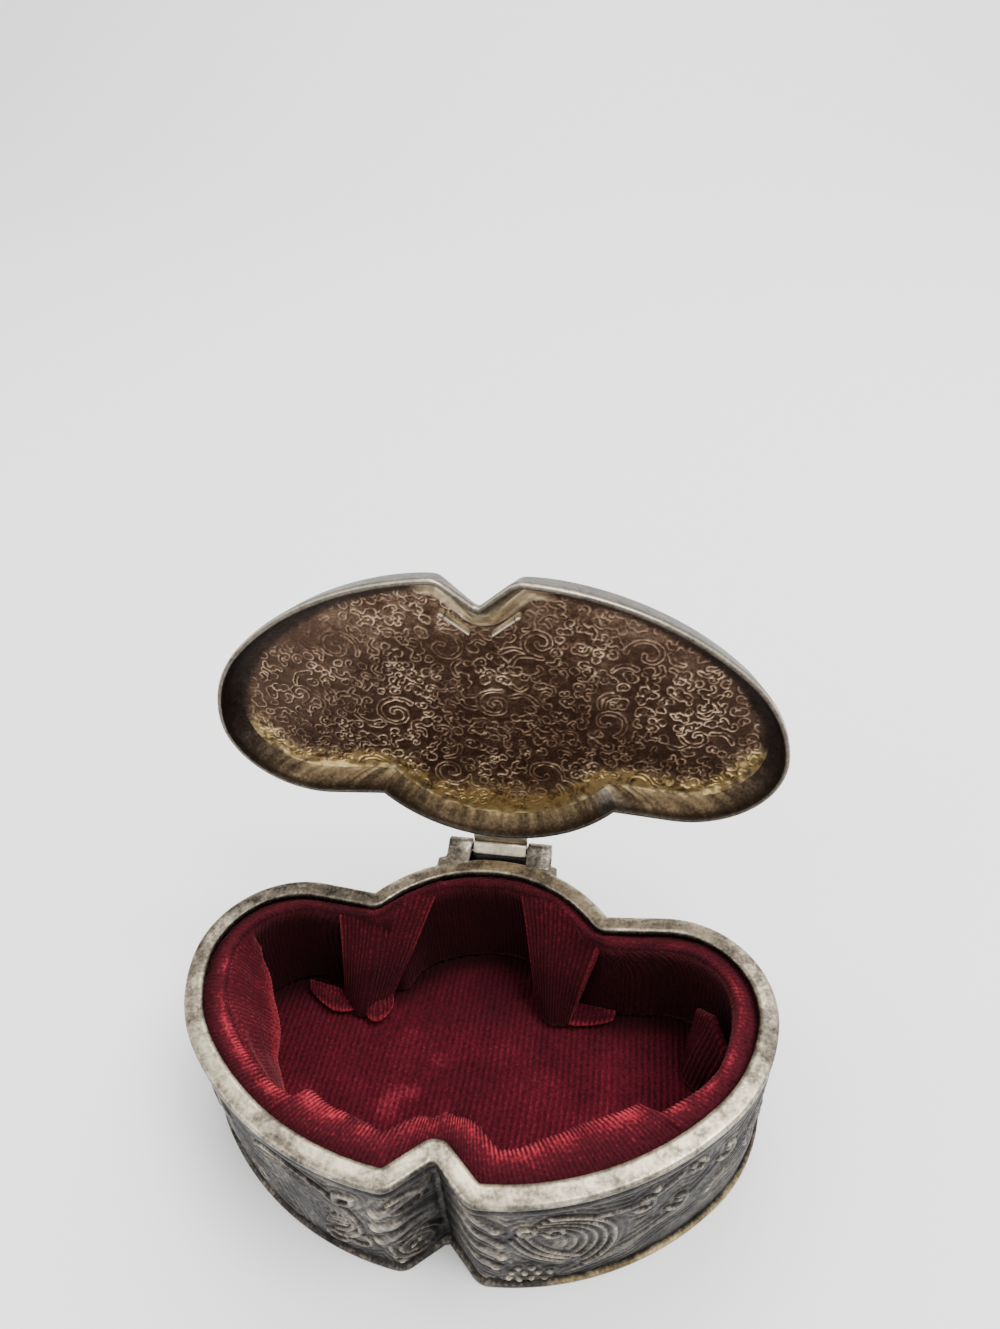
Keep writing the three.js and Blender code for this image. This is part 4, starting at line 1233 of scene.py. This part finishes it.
def make_lid_field(half, material, lines):
    """One half of the lid's inner surface, with its fine raised lines."""
    stations = Stations(0.5)
    inner = Ring(stations, LID_WALL + LID_COVE_WIDTH)
    x, y, quads = plan_grid(LID_FIELD_EDGE, 0.18, 0.18, half)
    depth = depth_at(x, y)
    along = from_notch(x, y)
    step = LID_WALL + LID_COVE_WIDTH + 0.2
    chevron = (1 - smooth(step, step + 0.8, depth)) * (1 - smooth(13, 17, along))
    dip = lid_dip(along) * (1 - smooth(step, step + LID_NOTCH_STEP, depth))
    line = lines.read(x, y) * smooth(4.3, 5.2, depth) * (1 - chevron)
    ceiling = cove_height(depth) + LID_CEILING_RISE * np.clip(1 - inner.share(x, y), 0, 1) - dip
    ripple = 0.16 * Wander(6, 1.7)(x, y) * smooth(9, 5.5, depth) * smooth(5, 18, y)
    uneven = 0.14 * Wander(5, 6.0)(x, y) + 0.05 * Wander(7, 1.1)(x, y)
    z = ceiling - LID_LINES * line + ripple + uneven * smooth(3.6, 5, depth)
    # Painted highlight: near the hinge the cove's lip is gilt and made brighter, where it faces up into the
    # light.
    lip_gilt_and_highlight = bump(depth, 5.2, 2.2) * smooth(2, 10, y)
    streak = streaks(along)
    middle = bump(np.hypot(x / 1.7, y - 28), 0, 8)
    patchy = Wander(8, 2.4)(x, y) * 0.35 + Wander(16, 0.8)(x, y) * 0.25 + 0.8
    inside = smooth(10.5, 5.0, depth) * smooth(2, 12, y)
    gold = np.clip((lip_gilt_and_highlight * (0.35 + 0.9 * streak) + 0.6 * inside + middle) * patchy, 0, 1)
    dull = smooth(0.1, 0.6, Wander(9, 7.0)(x, y)) * smooth(14, -6, y)
    ground = 0.22 + 0.05 * Wander(10, 4.0)(x, y) + 0.07 * dull
    ground = ground + 0.08 * smooth(-10, -26, y) + 0.09 * bump(x, 0, 30)
    shimmer = 0.5 + 0.5 * np.clip(1.2 * Wander(19, 1.2)(x, y) + 0.8 * Wander(20, 0.5)(x, y), -1, 1)
    wear = ground + 0.03 + 0.82 * line + 0.50 * chevron + gold * (0.28 + 0.66 * shimmer)
    cove = smooth(5.6, 4.2, depth) * (1 - chevron)
    # Painted shade and light in the cove: darker towards the front, brighter in streaks near the hinge.
    wear = wear - 0.14 * cove * (1 - lip_gilt_and_highlight) * smooth(12, 2, y) + 0.18 * cove * streak * smooth(2, 12, y)
    brown = 0.95 - 0.75 * chevron - 0.6 * gold - 0.45 * smooth(5.6, 4.0, depth) * (1 - chevron)
    gold = np.clip(gold + 0.30 * chevron + 0.12, 0, 1)
    skin = Skin("wear", "gold", "brown")
    skin.add(np.column_stack([x, y, z]), quads[:, ::-1], wear=np.clip(wear, 0, 1), gold=np.clip(gold, 0, 1),
             brown=np.clip(brown, 0, 1))
    piece = skin.build("lid_inside_right" if half > 0 else "lid_inside_left", material, opened)
    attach(piece, "lid")


def make_lid_casting(material):
    """The lid's top, side, edge and cove."""
    stations = Stations(0.45)
    shoulder = Ring(stations, LID_SHOULDER)
    skin = Skin("wear", "gold", "brown")
    rings = []
    wear = []
    gold = []
    brown = []
    along = stations.along
    near_hinge = smooth(70, 96, along)
    streak = streaks(along)
    plated = bump(along, BACK_NOTCH_FROM_NOTCH, 3.5) * (stations.side > 0)

    def lay(inset, z, worn_and_lit, gilded=0.0, browned=0.0):
        rings.append(stations.ring(inset, z))
        wear.append(np.broadcast_to(worn_and_lit, (stations.count,)))
        gold.append(np.broadcast_to(gilded, (stations.count,)))
        brown.append(np.broadcast_to(browned, (stations.count,)))

    dip = lid_dip(along)
    chevron = 1 - smooth(13, 17, along)
    for inset in (LID_FIELD_EDGE, 2.8, 2.3, 1.9, 1.5, 1.2, 1.02, LID_WALL + 0.02):
        share = (inset - LID_WALL) / (LID_FIELD_EDGE - LID_WALL)
        shine = near_hinge * (0.12 + 0.38 * share) * (0.45 + 0.9 * streak) + 0.35 * plated * share
        lay(inset, cove_height(inset) - dip * share, np.clip(0.16 + shine + 0.45 * chevron * share, 0, 1),
            0.75 * near_hinge * (1 - plated) + 0.3 * chevron, 0.3 * (1 - chevron) * (1 - plated))
    lay(LID_WALL, 0.12, 0.15)
    lay(LID_WALL - 0.12, 0.0, 0.5)
    lay(0.25, 0.0, 0.45)
    lay(0.08, 0.08, 0.85)
    lay(0.0, 0.25, 0.8)
    lay(0.0, LID_EDGE_HEIGHT - 0.1, 0.42)
    for share in (0.04, 0.3, 0.6, 0.85, 0.97):
        z = LID_EDGE_HEIGHT + (LID_SIDE_HEIGHT - LID_EDGE_HEIGHT) * share
        lay(LID_DRAFT * share, z - dip * share, 0.42)
    lay(LID_DRAFT + 0.15, LID_SIDE_HEIGHT + 0.12 - dip, 0.5)
    lay(LID_SHOULDER, DOME_BASE - dip, 0.35)
    skin.add_rings(rings, wear=wear, gold=gold, brown=brown)

    x, y, quads = plan_grid(LID_SHOULDER, 0.45, 0.45)
    depth = depth_at(x, y)
    carving = lid_top_carving()
    soft = carving.softened(1.2)
    low = lid_dip(from_notch(x, y)) * smooth(10.0, 2.4, depth)
    border = border_leaves(x, y, depth)
    height = np.maximum(carving.read(np.abs(x), y), border)
    height = height * smooth(LID_SHOULDER, LID_SHOULDER + 0.7, depth)
    lifted = height - np.maximum(carving.read(np.abs(x), y, soft), 0.8 * border)
    rise = LID_HEIGHT - LID_CARVING - DOME_BASE
    share = np.clip(shoulder.share(x, y), 0, 1)
    z = DOME_BASE + rise * (1 - share ** LID_DOME_FULLNESS) + LID_CARVING * height - low
    skin.add(np.column_stack([x, y, z]), quads, wear=np.clip(0.3 + 0.95 * lifted + 0.22 * height, 0, 1))
    piece = skin.build("lid_casting", material, opened)
    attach(piece, "lid")
    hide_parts("lid")


def border_leaves(x, y, depth):
    """A row of small leaves along the edge of the lid's top."""
    return ribs(from_notch(x, y), LID_BORDER_LEAF) * bump(depth, 4.6, 1.8)


def flat_sided(angle):
    """A square section with well rounded corners, turned so that one flat faces the open box."""
    turned = angle - math.radians(40)
    return 0.93 / (np.abs(np.cos(turned)) ** 6 + np.abs(np.sin(turned)) ** 6) ** (1 / 6)


def make_knuckle(material):
    """The lid's leaf and centre knuckle, made in the open lid's place."""
    skin = Skin("wear", "gold", "brown")
    barrel(skin, -KNUCKLE_HALF_WIDTH, KNUCKLE_HALF_WIDTH, BARREL_RADIUS, PIN_RADIUS + PIN_CLEARANCE,
           flat_sided, wear=0.86)
    knuckle = skin.build("lid_knuckle", material)
    leaf = Skin("wear", "gold", "brown")
    half = KNUCKLE_HALF_WIDTH
    root = BACK_Y - LID_WALL / 2
    outline = [(-half, root), (-half, HINGE_Y - 0.9), (half, HINGE_Y - 0.9), (half, root)]
    slab(leaf, outline, 0.0, LEAF_THICKNESS, 0.12, wear=0.8)
    plate = leaf.build("lid_leaf", material, opened)
    for piece in (knuckle, plate):
        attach(piece, "lid")


def make_locating_ridges(material):
    """The two short bright ridges inside the lid, along the V notch, each with a dot at its end."""
    skin = Skin("wear", "gold", "brown")
    flank = math.atan2(TIP_Y - VERTEX[1], TIP_X)
    ahead = np.array([math.cos(flank), math.sin(flank)])
    inward = np.array([-math.sin(flank), math.cos(flank)])
    place = VERTEX + inward * LOCATING_RIDGE_INSET + ahead * LOCATING_RIDGE_ALONG
    z = LID_CEILING - lid_dip(0.0) - LOCATING_RIDGE_HEIGHT * 0.5
    half = LOCATING_RIDGE_LENGTH / 2
    # Place along the ridge, half width and brightness
    rounds = ((-half, 0.3, 0.9), (0.2 - half, 0.42, 0.9), (half - 1.1, 0.42, 0.9), (half - 0.7, 0.34, 0.5),
              (half - 0.35, 0.5, 1.0), (half, 0.5, 1.0), (half + 0.3, 0.25, 0.9))
    count = 20
    angle = np.linspace(0, 2 * math.pi, count, endpoint=False)
    for side in (-1, 1):
        rings = []
        for forward, size, _ in rounds:
            across = place + ahead * forward + inward * (size * np.cos(angle))[:, None]
            rings.append(np.column_stack([across[:, 0] * side, across[:, 1], z + 0.9 * np.sin(angle)]))
        first = skin.add_rings(rings, outward=side > 0, wear=[worn_and_lit for _, _, worn_and_lit in rounds])
        last = first + count * (len(rings) - 1)
        skin.close(first, count, rings[0].mean(axis=0), upward=side < 0, wear=0.8)
        skin.close(last, count, rings[-1].mean(axis=0), upward=side > 0, wear=0.9)
    piece = skin.build("lid_locating_ridges", material, opened)
    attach(piece, "lid")


def make_lining_floor(material):
    """The velvet on the floor, its ribs running from front to back."""
    x, y, quads = plan_grid(LINING_OUTER + 0.5, WALE / 6, 0.9, draw=False)
    drift = 0.3 * Wander(21, 14.0)(x, y)
    crushed = Wander(22, 7.0)(x, y)
    rib = ribs(x + drift, WALE) ** 0.7 * (1 - 0.5 * smooth(0.25, 0.8, crushed))
    sag = 0.14 * Wander(23, 18.0)(x, y)
    z = LINING_FLOOR_TOP - 0.25 + WALE_HEIGHT * (rib - 0.5) + sag
    patch = bump(np.hypot(x + 14, y + 2), 0, 9) * smooth(0.0, 0.6, Wander(24, 4.0)(x, y))
    # Crushed nap in patches and a larger crushed patch, and the floor lightens towards the front.
    rub = 0.16 + 0.14 * crushed + 0.45 * patch + 0.10 * smooth(12, -16, y)
    # Painted shade: darker close to the walls in the back part, and darker towards the back.
    hollow = 0.55 * smooth(9.5, 5.0, depth_at(x, y)) * smooth(-12, 4, y) + 0.35 * smooth(6, 22, y)
    skin = Skin("pile", "rub", "hollow")
    skin.add(np.column_stack([x, y, z]), quads, pile=rib, rub=np.clip(rub, 0, 1),
             hollow=np.clip(hollow, 0, 1))
    piece = skin.build("velvet_floor", material)
    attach(piece, "base")
    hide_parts("lining_floor")


# How far in the strip's folded top edge stands, at distances along the plan from the V notch. The
# strip steps back where its two ends meet.
LEFT_NOSE = (
    (0, 8.3), (3.4, 7.0), (13, 8.1), (17, 9.0), (24, 9.9), (34.8, 9.9), (35.7, 7.2), (41, 6.7), (51, 7.1),
    (62, 7.6), (75, 6.9), (92, 5.6), (112, 4.6), (122, 4.6), (HALF_LENGTH, 5.4),
)
RIGHT_NOSE = (
    (0, 8.3), (4, 7.7), (14, 8.6), (19, 9.1), (25, 10.4), (33, 10.8), (46.8, 10.8), (47.6, 7.9), (54, 7.3),
    (62, 7.0), (70, 7.4), (80, 6.9), (92, 5.8), (112, 4.8), (122, 5.2), (HALF_LENGTH, 5.4),
)


def nose_inset(stations):
    """How far in the strip's top edge stands, at each station."""
    left = np.interp(stations.along, *np.transpose(LEFT_NOSE))
    right = np.interp(stations.along, *np.transpose(RIGHT_NOSE))
    wave = 0.35 * Wander(31, 9.0)(stations.along * stations.side)
    return np.where(stations.side > 0, right, left) + wave


def belly(stations, level):
    """How far the strip's face bulges below its top edge, from 0 at its foot to 1 at its top."""
    along = stations.along
    left = 2.6 * bump(along, 62, 13) * bump(level, 0.72, 0.4)
    right = 1.6 * bump(along, 76, 6) * bump(level, 0.6, 0.4)
    notch = 2.2 * bump(along, BACK_NOTCH_FROM_NOTCH, 5) * (1 - level)
    return np.where(stations.side > 0, right, left) + notch


# Loose parts of the strip, each a cloth between a top line and a foot line, listed so that the box's
# middle is in front: top, foot, bulge, light at its ends and at its foot, how ragged it is, and shade.
FOLDS = (
    (((-30.0, 17.8, 28.2), (-22.0, 19.4, 28.4), (-11.0, 28.0, 28.2)),
     ((-30.6, 12.4, 4.0), (-26.2, 11.0, 3.9), (-21.4, 13.0, 4.0)), 1.4, 0.4, 0.0, 0.0, 0.25),
    (((5.2, 28.4, 28.0), (14.0, 25.0, 28.3), (23.4, 17.8, 28.2)),
     ((10.0, 15.6, 4.0), (13.4, 14.2, 3.9), (16.6, 14.0, 4.0)), 1.2, 0.35, 0.0, 0.0, 0.3),
    (((-39.5, 16.0, 5.6), (-33.0, 14.6, 6.4), (-27.0, 13.0, 6.0)),
     ((-39.0, 13.0, 3.9), (-32.5, 10.4, 4.3), (-27.2, 9.8, 3.9)), 0.6, 0.2, 0.3, 0.7, 0.1),
    (((-26.0, 12.8, 6.6), (-23.4, 13.4, 7.0), (-20.4, 14.6, 6.4)),
     ((-25.6, 8.8, 4.1), (-22.6, 9.0, 4.6), (-19.8, 11.4, 4.0)), 1.0, 0.5, 0.2, 0.7, 0.0),
    (((11.2, 17.4, 5.6), (18.0, 17.6, 6.2), (26.0, 17.4, 5.4)),
     ((11.3, 14.6, 4.0), (17.5, 13.6, 4.4), (25.2, 14.2, 3.9)), 0.5, 0.2, 0.3, 0.6, 0.25),
    (((41.4, 12.6, 17.0), (44.4, 9.6, 20.0), (46.6, 4.2, 18.0)),
     ((39.8, 9.4, 4.0), (40.6, 6.4, 3.9), (43.4, 2.6, 4.0)), 1.6, 0.1, 0.0, 0.2, 0.35),
    (((-30.5, -19.0, 28.0), (-37.2, -13.4, 28.1), (-44.4, -4.6, 28.2), (-47.4, 4.0, 28.2),
      (-47.2, 13.0, 28.0)),
     ((-29.4, -17.0, 22.0), (-35.0, -9.8, 19.0), (-37.4, -3.0, 18.5), (-41.4, 4.0, 19.0),
      (-46.6, 11.6, 20.5)), 1.0, 0.0, 0.45, 0.1, 0.05),
)


def even_line(points, count):
    """A line of so many points, straight from each given point to the next."""
    share = np.linspace(0, 1, count)
    knots = np.linspace(0, 1, len(points))
    return np.stack([np.interp(share, knots, axis) for axis in np.transpose(points)], axis=1)


def ease(line):
    """Rounds the bends of a line, its ends kept where they are."""
    for _ in range(14):
        line[1:-1] = (line[:-2] + line[1:-1] + line[2:]) / 3


def add_fold(skin, top, foot, bulge, light, foot_light, ragged, shade):
    """One loose part of the strip, as a closed cloth with a front and a back."""
    columns = 110
    rows = 20
    thickness = 0.9
    u = np.linspace(0, 1, columns)
    upper = even_line(top, columns)
    lower = even_line(foot, columns)
    if ragged > 0.5:
        lower = upper + (lower - upper) * (0.45 + 0.55 * np.sin(math.pi * u) ** 0.6)[:, None]
    ease(upper)
    ease(lower)
    width = lengths(upper)[-1] * 0.5 + lengths(lower)[-1] * 0.5
    count = max(3, round(width / STRIP_WALE))
    rib = (0.5 - 0.5 * np.cos(2 * math.pi * count * u)) ** 0.7
    torn_edge = 0.4 * np.random.default_rng(round(10 * width)).uniform(-1, 1, columns)
    tears = ragged * (0.5 * rib + torn_edge)
    levels = np.linspace(0, 1, rows)
    front = np.array([upper + (lower - upper) * (v + 0.04 * tears * v ** 4)[:, None] for v in levels])
    normal = np.cross(np.gradient(front, axis=0), np.gradient(front, axis=1))
    normal /= np.linalg.norm(normal, axis=2)[..., None]
    v = levels[:, None]
    swell = bulge * np.sin(math.pi * u) * (0.3 + 0.7 * v) + 0.4 * Wander(51, 5.0)(u * width, v * rows)
    ends = np.sqrt(np.clip(np.minimum(u, 1 - u) / 0.03, 0, 1))
    ends = ends * np.sqrt(np.clip(np.minimum(v + 0.02, 1.02 - v) / 0.04, 0, 1))
    outer = front + normal * (swell + (WALE_HEIGHT * rib + 0.4) * ends)[..., None]
    inner = front + normal * (swell - thickness * ends)[..., None]
    edge = bump(u, 0, 0.05) + bump(u, 1, 0.05)
    # Painted light and shade of the fold: highlights at its ends, foot and top, with the ragged foot's fluff,
    # and painted shade that deepens towards the foot.
    rub = []
    dark = []
    for k in range(2 * rows):
        down_share = min(k, 2 * rows - 1 - k) / (rows - 1)
        torn = ragged * smooth(0.75, 1.0, down_share)
        lit = light * edge * (1 - 0.5 * down_share) + foot_light * smooth(0.6, 1.0, down_share)
        rub.append(np.clip(0.20 + lit + 0.55 * torn + 0.12 * (1 - down_share), 0, 1))
        deeper = (0.25 - 0.5 * foot_light) * smooth(0.2, 0.8, down_share) * (1 - torn)
        dark.append(np.clip(shade + deeper - 0.2 * edge, 0, 1))
    skin.add_rings(list(outer) + list(inner[::-1]), closed=False, looped=True, pile=[rib] * (2 * rows),
                   rub=rub, hollow=dark)


def make_lining_wall(material):
    """The velvet strip round the inside, folded over at its top, with upright ribs, and its folds."""
    stations = Stations(0.21)
    along = stations.along * stations.side
    from_front = stations.along
    on_left = stations.side < 0
    sag = 0.35 * Wander(32, 11.0)(along)
    crest = LINING_TOP + np.minimum(sag, 0.1)
    nose = nose_inset(stations)
    lean = nose - LINING_OUTER - PAD_NOSE_IN + 0.2
    shoulder = crest - 0.5 - 0.25 * np.maximum(lean, 0)
    roll = 0.55
    fuzz = np.random.default_rng(33)
    skin = Skin("pile", "rub", "hollow")
    rings = []
    pile = []
    rub = []
    hollow = []

    def lay(inset, z, rib_share, rubbed, painted_shade=0.0):
        rib = wave ** 0.7 * (1 - crushed)
        reach = WALE_HEIGHT * rib_share * rib + fuzz.normal(0, 0.05, stations.count)
        rings.append(stations.ring(inset + reach, z))
        pile.append(rib)
        rub.append(np.clip(rubbed, 0, 1) + 0 * along)
        hollow.append(np.clip(painted_shade, 0, 1) + 0 * along)

    # Painted highlights: catch varies the sheen at random along the strip, and edge_light brightens the front
    # stretch and the left wall.
    catch = 0.28 + 0.34 * Wander(34, 3.6)(along)
    wave = ribs(along + 0.5 * Wander(37, 6.0)(along), STRIP_WALE)
    crushed = 0.5 * smooth(40, 56, from_front) * smooth(-0.3, 0.5, Wander(38, 5.0)(along) + 0.3)
    edge_light = 0.26 * (1 - smooth(60, 85, from_front)) + 0.24 * bump(from_front, 58, 20) * on_left
    bright = catch + edge_light
    # The strip's back against the wall is given full painted shade.
    lay(LINING_OUTER, LINING_WALL_LOW, 0.0, 0.0, 1.0)
    lay(LINING_OUTER, shoulder - 1.0, 0.0, 0.0, 1.0)
    # The top sloping from the wall to the nose: painted shadow next to the rim, and a painted highlight that
    # grows towards the nose.
    for t in np.linspace(0, 1, 12)[:-1]:
        inset = LINING_OUTER + (nose - roll - LINING_OUTER) * t
        z = shoulder + (crest - shoulder) * min(1.0, 1.6 * t)
        ribbed = WALE_HEIGHT * 0.22 * (2 * wave - 1) * min(1.0, 3 * t) * (1 - crushed)
        ribbed = ribbed + 0.16 * Wander(36, 2.2)(along, 6 * t)
        lay(inset, z + ribbed, 0.0, 0.13 + 0.20 * t + (bright - 0.16) * t ** 4, 0.45 * (1 - t) ** 2)
    # The rolled nose, with knots where its ribs end and a painted highlight along it.
    knotted = 1 - smooth(50, 60, from_front)
    for k in range(6):
        angle = math.pi / 2 * k / 5
        knots = 0.55 + 0.9 * knotted * wave
        inset = nose - roll + roll * math.sin(angle)
        z = crest - roll + roll * math.cos(angle)
        lay(inset, z, 0.5 + 1.1 * knotted, bright * knots * (1.1 - 0.5 * k / 5), 0.10 * k / 5)
    # The face below the nose: painted shade lower down and deeper in the lobes, a painted highlight near the
    # top, and less shade with a painted highlight on the left wall.
    in_lobe = smooth(66, 84, from_front) * (1 - 0.5 * bump(from_front, BACK_NOTCH_FROM_NOTCH, 6))
    for level in np.linspace(1, 0, 27)[1:]:
        z = LINING_WALL_LOW + (crest - roll - LINING_WALL_LOW) * level
        back = LINING_OUTER + PAD_FOOT_IN * 0.6
        under = np.clip((level - 0.55) / 0.45, 0, 1) ** 1.5
        inset = back + (nose - back) * under + belly(stations, level)
        shade = smooth(1.0, 0.78, level) * (0.36 + 0.34 * in_lobe)
        left_wall_highlight = on_left * bump(from_front, 62, 12) * bump(level, 0.75, 0.2)
        lit = bright * 0.7 * level ** 3 + 0.14 + 0.25 * left_wall_highlight
        lay(inset, z, 1.0, lit, shade - 0.35 * on_left * bump(from_front, 62, 14) * level)
    skin.add_rings(rings, looped=True, pile=pile, rub=rub, hollow=hollow)
    for fold in FOLDS:
        add_fold(skin, *fold)
    piece = skin.build("velvet_wall", material)
    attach(piece, "base")
    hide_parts("lining_wall")


make_camera()
make_lights()
make_backdrop()
cast_silver = silver_material("cast_silver_plate", 0.7)
lid_silver = silver_material("lid_silver_plate", 0.4, 0.4)
pin_steel = silver_material("pin_steel_wire", 0.2)
floor_velvet = velvet_material("velvet_floor_cloth", (0.020, 0.0010, 0.0035), (0.085, 0.0048, 0.012),
                               (0.30, 0.028, 0.050))
wall_velvet = velvet_material("velvet_wall_cloth", (0.016, 0.0010, 0.003), (0.062, 0.0040, 0.009),
                              (0.36, 0.025, 0.040))
make_base(cast_silver)
make_lugs(cast_silver)
make_pin(pin_steel)
make_lid_casting(lid_silver)
fine_lines = scroll_lines()
for half in (-1, 1):
    make_lid_field(half, lid_silver, fine_lines)
make_knuckle(lid_silver)
make_locating_ridges(lid_silver)
make_lining_floor(floor_velvet)
make_lining_wall(wall_velvet)
